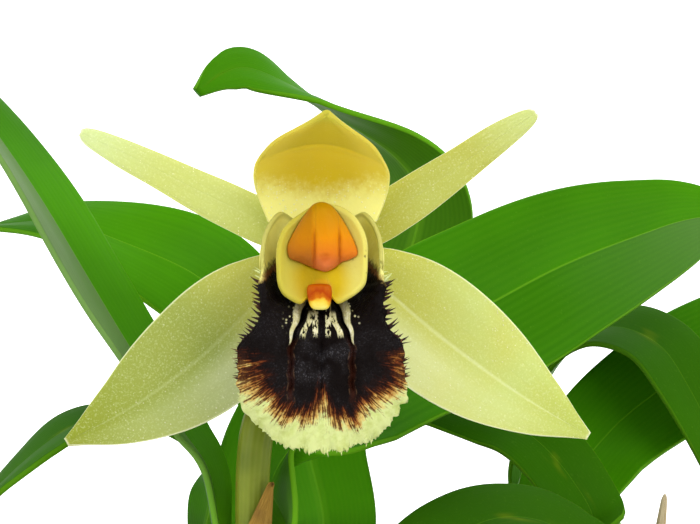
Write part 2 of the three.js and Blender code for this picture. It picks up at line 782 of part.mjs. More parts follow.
function makeOvary() {
  const path = [[-2.45, 8.6, -5.9], [-1.6, 8.2, -3.4], [-0.5, 7.0, -1.4], [0, 5.2, -0.4], [0, 3.45, -0.2]];
  const shape = [[0, 0.95], [0.3, 1.3], [0.6, 1.15], [0.85, 0.95], [1, 0.85]];
  const ribbed = (t, angle) => profileAt(shape, t) * (1 + 0.09 * Math.cos(3 * angle));
  return stem(inFlower(path), ribbed, 12, 12);
}

// The dry tip of last season's flower stem, between the leaves of one pseudobulb.
function makeSpentStem() {
  const [x, y, z] = GROWTHS.find((growth) => growth.name === "d").apex;
  const path = [
    [x - 0.15, y + 0.4, z + CLEAR_OF_APEX],
    [x + 0.1, y + 0.4, z + 1.4],
    [x + 2.4, y - 0.1, z + 3],
    [x + 5.6, y - 2.3, z + 4.8],
    [x + 7, y - 4.7, z + 9],
    [x + 7.6, y - 4.9, z + 13.4],
  ];
  return stem(path, (t) => 0.7 - 0.5 * t ** 3, 10, 7);
}

// A dry bract that half wraps the stem.
function makeBract(path, turn, halfAngle, clear, flare) {
  const curve = splineThrough(path.map(v3));
  const surface = (u, v) => {
    const angle = turn + u * halfAngle * (1 - 0.75 * v);
    const radius = clear + flare * v * v;
    return curve.getPointAt(v).add(turnedOut(radius, angle));
  };
  return sheet(surface, 4, 6, 0.6);
}

function makeStemSheath() {
  const [x, y, z] = GROWTHS[0].apex;
  const path = [[x, y, z + 3.2], [x, y + 0.1, z + 6], [x + 0.4, y + 0.4, z + 9.6]];
  return makeBract(path, -1.5, 0.85, 1.95, 0.2);
}

function makeFloralBract() {
  const path = inFlower([[-3.55, 8.0, -9.6], [-2.6, 8.5, -6.4], [-2.1, 8.7, -2.4]]);
  return makeBract(path, 1.9, 1.6, 2.5, 1.3);
}

// ---------- the flower, in its own frame: X right, Y away from the viewer, Z up ----------

const TEPALS = {
  petal_left: {
    spine: [[-1.25, 4.63, 0.45], [-4.6, 4.46, 1.8], [-9.2, 3.75, 4.0], [-14.0, 3.2, 6.4], [-18.6, 3.0, 8.65]],
    facing: [[0, -1, 0], [0, -1, 0.12], [0, -1, 0.3]],
    halfWidth: 1.8,
    profile: PETAL_PROFILE,
    fold: 0.06,
    curl: 0.16,
    grid: [4, 12],
  },
  petal_right: {
    spine: [[1.25, 4.58, 0.5], [4.2, 4.36, 1.9], [8.4, 3.7, 4.6], [12.6, 3.0, 7.6], [16.4, 2.7, 10.2]],
    facing: [[0, -1, 0], [0, -1, -0.1], [0, -1, -0.2]],
    halfWidth: 1.85,
    profile: PETAL_PROFILE,
    fold: 0.06,
    curl: 0.16,
    grid: [4, 12],
  },
  lateral_sepal_left: {
    spine: [
      [-2.35, 5.8, -1.4], [-4.9, 5.5, -4.2], [-9.6, 4.7, -8.1], [-14.7, 4, -11.9],
      [-19.7, 3.5, -15.2],
    ],
    facing: [[0, -1, 0], [0, -1, 0.1], [0, -1, 0.2]],
    halfWidth: 4.65,
    profile: LATERAL_PROFILE,
    fold: 0.24,
    curl: 0.12,
    grid: [6, 13],
  },
  lateral_sepal_right: {
    spine: [[2.1, 5.85, -1.2], [5, 5.5, -3.9], [9.9, 4.7, -7.7], [15.3, 3.9, -11.6], [20.5, 3.3, -14.7]],
    facing: [[0, -1, 0], [0, -1, 0.1], [0, -1, 0.2]],
    halfWidth: 4.65,
    profile: LATERAL_PROFILE,
    fold: 0.24,
    curl: 0.12,
    grid: [6, 13],
  },
  dorsal_sepal: {
    spine: [[0, 3.4, 1.8], [0, 3.05, 4.3], [-0.05, 0.9, 6.9], [0.1, -3.0, 8.5], [0.4, -7.4, 9.8]],
    facing: [[0, -1, 0], [0, -0.8, -0.6], [0, -0.3, -1]],
    halfWidth: 5.05,
    profile: HOOD_PROFILE,
    fold: 0.06,
    baseFold: -0.19,
    baseShare: 0.4,
    curl: -0.26,
    grid: [8, 13],
  },
};

function makeTepal({ grid, ...shape }) {
  return sheet(bladeSurface(shape), grid[0], grid[1], FLOWER.tepal);
}

function lipSurface() {
  const rows = LIP_ROWS.map((row) => {
    const left = row.slice(1).reverse().map(([x, y, z]) => [-x, y, z]);
    return splineThrough([...left, ...row].map(v3));
  });
  return (u, v) => splineThrough(rows.map((row) => row.getPoint((u + 1) / 2))).getPoint(v);
}

function keelRise(u, v) {
  if (v < KEELS.from || v > KEELS.to) return 0;
  const along = Math.sin((Math.PI * (v - KEELS.from)) / (KEELS.to - KEELS.from));
  const wavy = 1 + 0.25 * Math.sin(38 * v);
  const ridge = (at, width) => Math.max(0, 1 - Math.abs(Math.abs(u) - at) / width);
  return KEELS.height * along * wavy * Math.max(ridge(KEELS.at, 0.09), 0.55 * ridge(0, 0.09));
}

function spike(root, tip, radius) {
  const axis = tip.clone().sub(root);
  const side = new THREE.Vector3(-axis.z, 0, axis.x).normalize();
  const other = new THREE.Vector3().crossVectors(axis, side).normalize();
  const ring = [0, 1, 2].map((k) => {
    const angle = (2 * Math.PI * k) / 3;
    const out = side.clone().multiplyScalar(Math.cos(angle)).addScaledVector(other, Math.sin(angle));
    return root.clone().addScaledVector(out, radius);
  });
  return meshFrom([...ring, tip], [[0, 2, 1], [0, 1, 3], [1, 2, 3], [2, 0, 3]]);
}

// Hair-like teeth that stand out from the lip's margin.
function lipFringe(surface) {
  const random = seededRandom(FRINGE.seed);
  const edge = [];
  for (const side of [-1, 1]) {
    for (let k = 0; k < FRINGE.onSides; k++) {
      const v = FRINGE.from + ((1 - FRINGE.from) * (k + 0.5)) / FRINGE.onSides;
      edge.push([side, v, FRINGE.length, surface(side, v).sub(surface(side * 0.94, v))]);
    }
  }
  for (let k = 0; k < FRINGE.onApex; k++) {
    const u = -1 + (2 * (k + 0.5)) / FRINGE.onApex;
    edge.push([u, 1, FRINGE.apexLength, surface(u, 1).sub(surface(u, 0.98))]);
  }
  return edge.map(([u, v, length, out]) => {
    const lean = new THREE.Vector3(0.25 * (random() - 0.5), -0.1, 0.5 * (random() - 0.5));
    const outward = out.normalize().add(lean).normalize();
    const margin = surface(u, v);
    const root = margin.clone().addScaledVector(outward, -FRINGE.root);
    const tip = margin.clone().addScaledVector(outward, length * (0.7 + 0.6 * random()));
    return spike(root, tip, FRINGE.radius);
  });
}

function makeLip() {
  const surface = lipSurface();
  const blade = sheet(surface, 20, 18, FLOWER.lip, keelRise);
  return geometryOf(joined([blade, ...lipFringe(surface)]));
}

// The column's hood seen from the front: a squarish egg with a notch in its lower edge.
function columnOutline() {
  return Array.from({ length: COLUMN.sides }, (_, k) => {
    const angle = (2 * Math.PI * (k + 0.5)) / COLUMN.sides;
    const [c, s] = [Math.cos(angle), Math.sin(angle)];
    const power = COLUMN.squareness;
    const egg = (Math.abs(c / COLUMN.wide) ** power + Math.abs(s / COLUMN.tall) ** power) ** (-1 / power);
    const reach = egg - (s < 0 ? 0.45 * Math.exp(-((c / 0.22) ** 2)) : 0);
    return [reach * c, reach * s];
  });
}

// Rings of [share of the outline, depth] round a level axis. brow moves their upper side back.
function outlineRings(rings, outline, centre, brow = 0) {
  return rings.map(([share, depth]) =>
    outline.map(([x, z]) => {
      const height = centre + 0.15 * Math.max(depth, 0);
      const back = depth < 0 ? brow * share * (Math.max(z, 0) / Math.hypot(x, z)) ** 2 : 0;
      return new THREE.Vector3(share * x, depth + back, height + share * z);
    }),
  );
}

function makeColumn() {
  const body = ringSolid(outlineRings(COLUMN_RINGS, columnOutline(), COLUMN_CENTRE, COLUMN_BROW));
  const tongue = ringSolid(outlineRings(TONGUE_RINGS, TONGUE_OUTLINE, TONGUE_CENTRE));
  return geometryOf(joined([body, tongue]));
}

function makeAntherCap() {
  return ringSolid(outlineRings(ANTHER_RINGS, ANTHER_OUTLINE, ANTHER_CENTRE));
}

// ---------- the whole plant ----------

const orchid = new THREE.Group();

function add(parent, name, geometry, colour, roughness) {
  const material = new THREE.MeshStandardMaterial({ color: colour, roughness, metalness: 0 });
  const mesh = new THREE.Mesh(geometry, material);
  mesh.name = name;
  parent.add(mesh);
}

add(orchid, "pot", makePot(), COLOURS.clay, 0.85);
const standing = [makeRhizome(SEAT_GAP), ...GROWTHS.map((growth) => makeBulb(growth, SEAT_GAP))];
add(orchid, "bark", makeBark(standing), COLOURS.bark, 0.95);
add(orchid, "rhizome", makeRhizome(), COLOURS.rhizome, 0.8);
for (const growth of GROWTHS) {
  add(orchid, `pseudobulb_${growth.name}`, makeBulb(growth), COLOURS.bulb, 0.45);
  growth.leaves.forEach((leaf, k) => {
    add(orchid, `leaf_${growth.name}${k + 1}`, makeLeaf(growth, leaf), COLOURS.leaf, 0.4);
  });
}
add(orchid, "flower_stem", makeFlowerStem(), COLOURS.stem, 0.5);
add(orchid, "stem_sheath", makeStemSheath(), COLOURS.sheath, 0.8);
add(orchid, "spent_stem", makeSpentStem(), COLOURS.dry, 0.85);
add(orchid, "floral_bract", makeFloralBract(), COLOURS.sheath, 0.8);
add(orchid, "ovary", makeOvary(), COLOURS.stem, 0.5);

const flower = new THREE.Group();
flower.position.set(...FLOWER.centre);
flower.rotation.x = THREE.MathUtils.degToRad(-FLOWER.tilt);
orchid.add(flower);
for (const [name, shape] of Object.entries(TEPALS)) {
  add(flower, name, makeTepal(shape), name === "dorsal_sepal" ? COLOURS.hood : COLOURS.tepal, 0.5);
}
add(flower, "lip", makeLip(), COLOURS.lip, 0.55);
add(flower, "column", makeColumn(), COLOURS.column, 0.45);
add(flower, "anther_cap", makeAntherCap(), COLOURS.anther, 0.45);

export default orchid;
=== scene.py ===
"""Coelogyne orchid in flower, growing in a plain clay pot of bark.

Metres, +Z up. The origin is the middle of the pot's foot, and the flower looks towards -Y. The shapes are worked
out in millimetres, and shaped() brings them to metres.
"""

import math
import random

import bpy
import numpy as np
from bpy.props import FloatProperty, FloatVectorProperty, IntProperty, PointerProperty
from mathutils import Matrix, Vector


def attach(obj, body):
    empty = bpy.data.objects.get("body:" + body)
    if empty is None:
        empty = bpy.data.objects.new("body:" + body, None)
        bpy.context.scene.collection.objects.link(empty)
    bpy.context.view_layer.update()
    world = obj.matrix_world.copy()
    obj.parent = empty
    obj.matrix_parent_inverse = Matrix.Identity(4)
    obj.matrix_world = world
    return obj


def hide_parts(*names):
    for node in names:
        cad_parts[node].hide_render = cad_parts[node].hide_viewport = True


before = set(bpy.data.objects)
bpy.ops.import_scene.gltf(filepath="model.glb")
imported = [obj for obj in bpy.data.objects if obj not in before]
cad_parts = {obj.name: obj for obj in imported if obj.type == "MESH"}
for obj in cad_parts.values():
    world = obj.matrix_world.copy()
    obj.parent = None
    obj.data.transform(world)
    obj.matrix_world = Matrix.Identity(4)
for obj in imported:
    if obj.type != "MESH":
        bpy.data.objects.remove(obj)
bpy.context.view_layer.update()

bl_info = {
    "name": "Potted orchid",
    "version": (1, 0, 0),
    "blender": (4, 5, 0),
    "location": "View3D > Sidebar > Orchid",
    "description": "Builds a Coelogyne orchid in flower, in its pot of bark",
    "category": "Add Mesh",
}

MM = 0.001
GOLDEN_ANGLE = math.pi * (3 - math.sqrt(5))
UP = np.array([0.0, 0.0, 1.0])


def srgb(red, green, blue):
    """A colour as it looks on a screen, 0 to 255, as the shader's linear numbers."""
    parts = [c / 255 for c in (red, green, blue)]
    return tuple(c / 12.92 if c <= 0.04045 else ((c + 0.055) / 1.055) ** 2.4 for c in parts)


# ---------- driving dimensions, in millimetres ----------

LIP_MIDDLE = 8.0  # how far below the flower's middle the lip's streaks ray out from
KEEL_RUN = (3.9, 7.6, 0.9, 2.3)  # from this drop to that one, the keels part from the first half gap to the last

POT = {
    "height": 86, "foot": 35, "band_foot": 46, "rim": 50, "band": 15, "step": 2.6,
    "wall": 5, "floor": 6, "lip": 1.6, "drains": 3, "drain": 4, "drain_circle": 18,
}
BARK = {"foot": 6.3, "top": 75, "gap": 0.4, "chips": 240, "kinds": 7, "seed": 23}
RHIZOME_HEIGHT = 80.5
RHIZOME_RADIUS = 2.1
ROOT_RADIUS = 0.9
SEAT_GAP = 0.3
APEX_GAP = 0.4
PETIOLE_OFFSET = 2.05
FLOWER_CENTRE = np.array([3.0, -30.0, 146.0])
FLOWER_TILT = math.radians(10)

LEAF_PROFILE = [
    (0, 0.26), (0.1, 0.34), (0.22, 0.68), (0.38, 0.94), (0.55, 1), (0.74, 0.86), (0.88, 0.56), (0.96, 0.26), (1, 0.06),
]
BROAD_PROFILE = [
    (0, 0.26), (0.08, 0.66), (0.18, 0.84), (0.38, 0.98), (0.5, 1.02), (0.62, 0.9), (0.75, 0.7), (0.86, 0.55),
    (0.94, 0.4), (1, 0.08),
]
CLASPING_PROFILE = [
    (0, 0.12), (0.06, 0.14), (0.13, 0.52), (0.22, 0.75), (0.36, 0.9), (0.55, 1), (0.74, 0.86), (0.88, 0.56),
    (0.96, 0.26), (1, 0.06),
]
STALKED_PROFILE = [
    (0, 0.26), (0.12, 0.22), (0.3, 0.3), (0.44, 0.8), (0.58, 1), (0.76, 0.86), (0.88, 0.56), (0.96, 0.26), (1, 0.06),
]
SLENDER_PROFILE = [
    (0, 0.26), (0.1, 0.34), (0.22, 0.6), (0.38, 0.8), (0.55, 0.8), (0.74, 0.68), (0.88, 0.46), (0.96, 0.22), (1, 0.06),
]
OWN_SHAPE = {
    "a2": {"profile": CLASPING_PROFILE, "base_share": 0.5},
    "b1": {"profile": STALKED_PROFILE},
    "b2": {"profile": SLENDER_PROFILE},
    "c1": {"profile": BROAD_PROFILE},
}
AGED_AND_SHADED_LEAVES = {"b2": 0.8, "c1": 0.25, "d2": 0.8, "e1": 0.85, "h1": 1}  # how dark a leaf is made: partly its age, partly painted shade on the lower leaves
SHEEN = {"a1": -1, "a2": 1}  # the half that gets painted shade and a painted sheen: -1 the left, 1 the right

# One pseudobulb each: the middle of its top, its foot, its radius and its leaves. A leaf has the way its petiole
# leans, its spine, where its upper face looks along the spine, its half width, its fold and its curl.
GROWTHS = {
    "a": ((-2.4, -27.4, 117.5), (-3.5, -23.5), 6.2, [
        ((-1, 0.25), [(-6.2, -24, 127), (-8.4, -22.2, 130), (-12.7, -18.6, 136), (-16, -16.2, 141),
                      (-19.6, -13.2, 146.4), (-23.2, -9.8, 151), (-27.5, -5.8, 156), (-32, -1, 160.5)],
         [(1, -0.3, 0.1), (0.8, -0.34, 0.5), (0.78, -0.32, 0.54), (0.74, -0.3, 0.6)], 4.5, 0.3, 0.05),
        ((1, 0.3), [(-0.8, -21.8, 125.6), (2.4, -17.6, 129.4), (9, -12.6, 134), (16.7, -9.4, 137.6),
                    (22.5, -7.4, 140.3), (29, -5.3, 142.5), (33.5, -3.8, 143.6), (38.5, -2.4, 143.6)],
         [(-1, -0.3, 0.2), (-0.3, -0.82, 0.5), (-0.1, -0.85, 0.52), (0, -0.8, 0.6)], 7.4, 0.2, 0.1),
    ]),
    "b": ((-5, -12.5, 112.5), (-9, -8), 6.2, [
        ((0.7, 0.7), [(-1.8, -8, 125), (-2, -6.6, 130.5), (-4, -6.4, 135.4), (-7.4, -6.8, 139.3),
                      (-13.8, -6.8, 142.2), (-18.8, -6, 143.6), (-24.6, -4.8, 143)],
         [(-0.7, -0.7, 0.1), (-0.3, -0.9, 0.3), (0.1, -0.75, 0.65), (0.1, -0.1, 1)], 4.9, 0.2, 0.08),
        ((-0.6, -0.8), [(-5.8, -15.6, 124), (-8, -16.4, 127.6), (-11.8, -18.1, 129.8), (-15.8, -20.4, 130),
                        (-19.4, -22.9, 128.1), (-23, -25.5, 125.1), (-26.4, -28, 121.9), (-29.4, -30.2, 118)],
         [(0.6, 0.8, 0.1), (0.3, 0, 0.95), (-0.12, -0.05, 1), (-0.62, 0.02, 0.79), (-0.75, 0, 0.66)],
         4.7, 0.16, 0.1),
    ]),
    "c": ((3, 1.5, 104.5), (4, 4), 6.6, [
        ((-0.5, -0.85), [(3, -0.8, 117), (1.8, 0.6, 123.5), (2.6, 1.6, 128.4), (5.8, 2.4, 133.2), (9.8, 3.2, 138.8),
                         (11, 3.8, 144.2), (8.9, 3.8, 148), (3.2, 2.5, 151.9), (-2.6, 0.7, 155.2),
                         (-5.2, -0.8, 155.3), (-7.4, -2.2, 153.9)],
         [(0.5, 0.85, 0.1), (0.3, 1, 0.1), (0.1, 1, 0.05), (0.15, 0.95, 0.15), (0.35, 0.6, 0.5),
          (0.35, 0.1, 0.93), (-0.1, -1.1, 0.35)], 5, 0.15, 0.05),
        ((-0.3, 1), [(2, 7.5, 109), (0.6, 14.5, 111), (-1.6, 23, 109.4), (-4, 31.5, 104), (-6, 39.5, 96),
                     (-7.5, 45, 87)],
         [(0.3, -1, 0.1), (0.1, -0.4, 0.9), (0, 0.3, 0.95), (-0.1, 0.7, 0.6)], 4.9, 0.24, 0.1),
    ]),
    "d": ((23, -9, 109.5), (19, -8), 5.9, [
        ((-0.4, 0.9), [(22.6, -3.4, 119.8), (26.9, 0, 124.7), (31.2, 2.1, 127.9), (35.4, 3.7, 130.3),
                       (41, 5.3, 132.1), (48, 7, 132.8), (55.5, 8.5, 130.5)],
         [(0.4, -0.9, 0.2), (-0.2, -0.66, 0.72), (-0.1, -0.74, 0.66), (0.2, -0.5, 0.84)], 5.5, 0.24, 0.1),
        ((0.5, -0.8), [(25.1, -12.4, 119.6), (23, -11, 123.4), (20.3, -9.2, 126.1), (17.6, -7.4, 127.3),
                       (13.8, -5.8, 128), (10, -4.6, 128.2), (6, -3.8, 127.4)],
         [(-0.5, 0.8, 0.2), (-0.3, -0.1, 0.95), (0, -0.6, 0.8), (0, -0.5, 0.85)], 3.2, 0.2, 0.1),
    ]),
    "e": ((20.5, 11, 108.5), (18, 10), 6.3, [
        ((0.2, -0.9), [(20.6, 9, 119.5), (21.4, 8.4, 126.4), (24, 6.4, 131), (27.4, 3.4, 133),
                       (30.8, 0, 132.2), (33, -3, 129.4), (35.8, -6.6, 123.8), (38.4, -10.6, 115.6)],
         [(-0.2, 0.9, 0.2), (-0.5, -0.1, 0.9), (0.3, -0.45, 0.84), (0.6, -0.5, 0.6)], 3.8, 0.22, 0.1),
        ((0.2, 1), [(21.4, 17.5, 112.6), (22, 24.5, 113), (23.4, 34, 110.8), (25.4, 43.5, 106.4),
                    (27.5, 52, 102), (28, 58.5, 92)],
         [(-0.2, -1, 0.1), (-0.1, -0.3, 0.95), (0.1, 0.4, 0.9), (0.1, 0.8, 0.5)], 5.4, 0.24, 0.1),
    ]),
    "f": ((-14.5, 14, 101), (-12.5, 11), 6, [
        ((-1, 0.1), [(-20, 14.5, 106.5), (-28.5, 15.5, 108.8), (-38, 16, 107), (-47.5, 15.5, 101), (-55.5, 14, 92)],
         [(1, 0, 0.1), (0.35, -0.2, 0.9), (-0.3, 0, 0.95), (-0.8, 0, 0.6)], 5.4, 0.24, 0.1),
        ((0.6, 0.8), [(-14, 20, 105), (-17.5, 28.5, 107), (-25, 38, 105), (-29.5, 46.5, 98.5), (-33, 53.5, 89.5)],
         [(-0.6, -0.8, 0.1), (0.1, -0.3, 0.95), (-0.1, 0.4, 0.9), (-0.3, 0.8, 0.5)], 5.05, 0.24, 0.1),
    ]),
    "g": ((4, 23.5, 98), (3, 20.5), 5.4, [
        ((0.3, 1), [(6, 29.5, 102.4), (8.6, 37, 103.6), (11, 45, 100.4), (12.6, 52.5, 93.5), (13.6, 58.5, 84)],
         [(-0.3, -1, 0.1), (0, -0.3, 0.95), (0, 0.4, 0.9), (0.1, 0.8, 0.5)], 4.6, 0.24, 0.1),
    ]),
    "h": ((26, -22, 105), (22, -21), 5.4, [
        ((-0.3, 0.9), [(25.6, -20.2, 115.6), (24.2, -20.4, 119), (21.8, -20.9, 121.3), (18.6, -21.7, 122.5),
                       (15.2, -23.2, 122.3), (11.4, -25.6, 120.2), (7.2, -29.5, 115), (4.2, -33.5, 107.5)],
         [(0.3, -0.9, 0.2), (0, -0.3, 0.95), (-0.2, -0.4, 0.9), (-0.5, -0.6, 0.6)], 4.6, 0.24, 0.1),
        ((0.9, -0.5), [(31, -25.5, 110.5), (38, -30, 112.6), (46, -35.5, 110.5), (53, -40.5, 104),
                       (58.5, -44.5, 95)],
         [(-0.9, 0.5, 0.1), (-0.2, 0.1, 0.95), (0.3, -0.2, 0.9), (0.6, -0.4, 0.6)], 5, 0.24, 0.1),
    ]),
}

LATERAL_PROFILE = [(0, 0.26), (0.1, 0.62), (0.25, 0.92), (0.42, 1), (0.62, 0.86), (0.82, 0.5), (0.95, 0.18), (1, 0.06)]
PETAL_PROFILE = [
    (0, 0.5), (0.12, 0.9), (0.3, 0.94), (0.5, 0.84), (0.7, 0.69), (0.85, 0.57), (0.94, 0.43), (0.985, 0.26), (1, 0.08),
]
HOOD_PROFILE = [
    (0, 0.82), (0.1, 0.94), (0.2, 1), (0.32, 1.02), (0.42, 1), (0.52, 0.95), (0.62, 0.87), (0.71, 0.75), (0.8, 0.56),
    (0.9, 0.29), (0.96, 0.14), (1, 0.03),
]

# Sepals and petals in the flower's own frame: spine, facing, half width, profile, fold, curl.
TEPALS = {
    "petal_left": ([(-1.25, 4.63, 0.45), (-4.6, 4.46, 1.8), (-9.2, 3.75, 4.0), (-14.0, 3.2, 6.4), (-18.6, 3.0, 8.65)],
                   [(0, -1, 0), (0, -1, 0.12), (0, -1, 0.3)], 1.8, PETAL_PROFILE, 0.06, 0.16),
    "petal_right": ([(1.25, 4.58, 0.5), (4.2, 4.36, 1.9), (8.4, 3.7, 4.6), (12.6, 3.0, 7.6), (16.4, 2.7, 10.2)],
                    [(0, -1, 0), (0, -1, -0.1), (0, -1, -0.2)], 1.85, PETAL_PROFILE, 0.06, 0.16),
    "lateral_sepal_left": (
        [(-2.35, 5.8, -1.15), (-4.7, 5.5, -4.0), (-9.15, 4.7, -8.5), (-14.35, 4, -12.3), (-19.7, 3.5, -15.2)],
        [(0, -1, 0), (0, -1, 0.1), (0, -1, 0.2)], 4.65, LATERAL_PROFILE, 0.24, 0.12),
    "lateral_sepal_right": (
        [(2.1, 5.85, -0.95), (5.1, 5.5, -3.65), (9.9, 4.7, -7.7), (15.3, 3.9, -11.6), (20.5, 3.3, -14.7)],
        [(0, -1, 0), (0, -1, 0.1), (0, -1, 0.2)], 4.65, LATERAL_PROFILE, 0.24, 0.12),
    "dorsal_sepal": ([(0, 3.4, 1.8), (0, 3.05, 4.3), (-0.05, 0.9, 6.9), (0.1, -3.0, 8.5), (0.4, -7.4, 9.8)],
                     [(0, -1, 0), (0, -0.8, -0.6), (0, -0.3, -1)], 5.05, HOOD_PROFILE, 0.06, -0.26),
}

# The lip: cross rows from its root to its apex, each from the middle out to its margin.
LIP_ROWS = [
    [(0, 3.0, -2.6), (1.3, 3.0, -2.3), (2.5, 3.1, -1.2), (2.6, 2.8, 0.5), (1.95, 2.4, 1.85)],
    [(0, 1.0, -3.9), (1.8, 1.0, -3.7), (3.2, 1.1, -1.8), (3.65, 1.15, 0.6), (3.2, 0.9, 2.45)],
    [(0, -1.6, -4.9), (1.9, -1.7, -4.7), (3.7, -1.8, -3.2), (4.45, -1.6, -0.9), (4.3, -1.1, 0.75)],
    [(0, -3.4, -6.1), (2.0, -3.6, -6.0), (3.7, -3.8, -5.0), (4.4, -3.6, -3.4), (4.6, -3.1, -2.2)],
    [(0, -4.3, -8.2), (2.2, -4.5, -8.1), (4.0, -4.5, -7.5), (4.8, -4.1, -6.6), (5.15, -3.6, -5.8)],
    [(0, -4.7, -10.6), (2.5, -4.9, -10.5), (4.5, -4.7, -10.0), (5.6, -4.2, -9.4), (6.1, -3.6, -9.0)],
    [(0, -4.6, -13.1), (2.4, -4.9, -12.9), (4.4, -4.6, -12.3), (5.5, -4.1, -11.8), (6.2, -3.5, -11.4)],
    [(0, -3.7, -15.5), (1.6, -3.9, -15.3), (3.1, -3.7, -14.8), (4.2, -3.4, -14.1), (5.0, -3.1, -13.4)],
]

# The column, the anther cap and the tongue: their rings are share of the outline and depth, their outlines x and z.
COLUMN_RINGS = [
    (0.02, -3.55), (0.35, -3.55), (0.6, -3.62), (0.82, -3.85), (0.93, -4.02), (1, -3.8), (1.01, -3.3), (0.96, -2.2),
    (0.76, -0.6), (0.54, 1.2), (0.44, 3.0), (0.02, 3.05),
]
COLUMN_OUTLINE = [
    (3.42, -0.3), (3.4, 0.9), (3.05, 2.0), (2.45, 2.9), (1.75, 3.45), (0.95, 3.75), (0.1, 3.85), (-0.75, 3.6),
    (-1.5, 3.15), (-2.2, 2.65), (-2.85, 2.0), (-3.25, 1.1), (-3.4, 0), (-3.38, -1.0), (-3.3, -2.1), (-2.95, -2.9),
    (-2.3, -3.4), (-1.6, -3.68), (-1.1, -3.3), (-0.8, -2.95), (0.5, -2.95), (0.8, -3.3), (1.25, -3.65), (2.0, -3.3),
    (2.7, -2.85), (3.25, -2.2), (3.4, -1.3),
]
ANTHER_RINGS = [(0.02, -4.95), (0.5, -4.9), (0.82, -4.7), (1, -4.05), (0.96, -3.5), (0.7, -3.05), (0.02, -3.0)]
ANTHER_OUTLINE = [
    (2.51, -0.55), (2.13, 0.29), (1.68, 1.13), (1.22, 1.81), (0.69, 2.42), (0, 2.65), (-0.69, 2.42), (-1.3, 1.66),
    (-1.83, 0.82), (-2.29, -0.02), (-2.55, -0.78), (-2.36, -1.54), (-1.6, -1.85), (-0.91, -2.15), (-0.3, -2.4),
    (0.3, -2.53), (0.91, -2.3), (1.45, -1.85), (2.13, -1.62), (2.66, -1.25),
]
TONGUE_RINGS = [(0.02, -4.5), (0.55, -4.5), (1, -4.3), (1, -3.5), (0.5, -3.2), (0.02, -3.2)]
TONGUE_OUTLINE = [
    (0.72, 0.5), (0.45, 0.88), (-0.75, 0.88), (-1.05, 0.55), (-0.95, -0.3), (-0.6, -0.88), (0.4, -0.88), (0.68, -0.3),
]
MIDDLES = {"column": -0.75, "anther": 0.55, "tongue": -3.9}  # their heights in the flower's frame

# Faces across or round each kind of piece, and along it.
MESH = {
    "runner": (20, 90), "root": (14, 60), "bulb": (72, 64), "bulb_sheath": (44, 14), "leaf": (40, 150),
    "stalk": (48, 90), "ovary": (48, 60), "spent": (20, 80), "bract": (30, 40), "tepal": (64, 130),
    "lip": (190, 170), "column": (180, 110), "tongue": (48, 30), "anther": (140, 50), "bark": (72, 36),
    "sweep": (4, 72),
}
THICKNESS = {"bulb_sheath": 0.22, "bract": 0.3, "lip": 0.45}
SAME_POINT = 0.002  # corners nearer than this become one
NO_LENGTH = 0.0001  # and edges shorter than this go


# ---------- curves and outlines ----------


class Spline:
    """A smooth curve through points, which can be read at even shares of its length."""

    SAMPLES = 401  # for the length
    STEP = 0.002  # to either side, for the heading

    def __init__(self, points):
        points = np.asarray(points, float)
        self.count = len(points)
        self.points = np.vstack([2 * points[0] - points[1], points, 2 * points[-1] - points[-2]])
        self.shares = np.linspace(0, 1, self.SAMPLES)
        steps = np.linalg.norm(np.diff(self.at(self.shares), axis=0), axis=1)
        self.run = np.concatenate([[0], np.cumsum(steps)]) / steps.sum()

    def at(self, share):
        place = np.clip(np.asarray(share, float), 0, 1) * (self.count - 1)
        k = np.minimum(place.astype(int), self.count - 2)
        w = (place - k)[..., None]
        before, start, end, after = (self.points[k + i] for i in range(4))
        leave, arrive = (end - before) / 2, (after - start) / 2
        return (
            start
            + leave * w
            + (3 * (end - start) - 2 * leave - arrive) * w**2
            + (2 * (start - end) + leave + arrive) * w**3
        )

    def along(self, share):
        return self.at(np.interp(share, self.run, self.shares))

    def heading(self, share):
        share = np.asarray(share, float)
        after, before = np.minimum(share + self.STEP, 1), np.maximum(share - self.STEP, 0)
        return unit(self.along(after) - self.along(before))


def unit(vectors):
    return vectors / np.maximum(np.linalg.norm(vectors, axis=-1, keepdims=True), 1e-12)


def smoothstep(value, low, high):
    share = np.clip((value - low) / (high - low), 0, 1)
    return share * share * (3 - 2 * share)


def bump(value, middle, width):
    """A smooth hill, 1 at its middle and gone two widths away."""
    return np.exp(-(((value - middle) / width) ** 2))


def outline(knots, share):
    """Smooth interpolation through (at, value) knots."""
    at, value = (np.array(column, float) for column in zip(*knots))
    k = np.clip(np.searchsorted(at, share, side="left") - 1, 0, len(at) - 2)
    low, high = np.maximum(np.arange(len(at)) - 1, 0), np.minimum(np.arange(len(at)) + 1, len(at) - 1)
    slope = (value[high] - value[low]) / (at[high] - at[low])
    span = at[k + 1] - at[k]
    s = (share - at[k]) / span
    return (
        value[k] * (1 + 2 * s) * (1 - s) ** 2
        + value[k + 1] * s * s * (3 - 2 * s)
        + slope[k] * span * s * (1 - s) ** 2
        - slope[k + 1] * span * s * s * (1 - s)
    )


def blended(directions, share):
    """Directions that turn evenly from the first to the last."""
    directions = np.asarray(directions, float)
    place = share * (len(directions) - 1)
    return np.stack([np.interp(place, np.arange(len(directions)), directions[:, i]) for i in range(3)], axis=-1)


def turned(angle):
    """Level directions at these angles."""
    return np.stack([np.cos(angle), np.sin(angle), np.zeros_like(angle)], axis=-1)


def in_flower(points):
    """Points of the flower's own frame, in the part's frame."""
    x, y, z = np.moveaxis(np.asarray(points, float), -1, 0)
    c, s = math.cos(FLOWER_TILT), math.sin(FLOWER_TILT)
    return np.stack([x, y * c + z * s, z * c - y * s], axis=-1) + FLOWER_CENTRE


# ---------- surfaces, as functions of u across and v along ----------


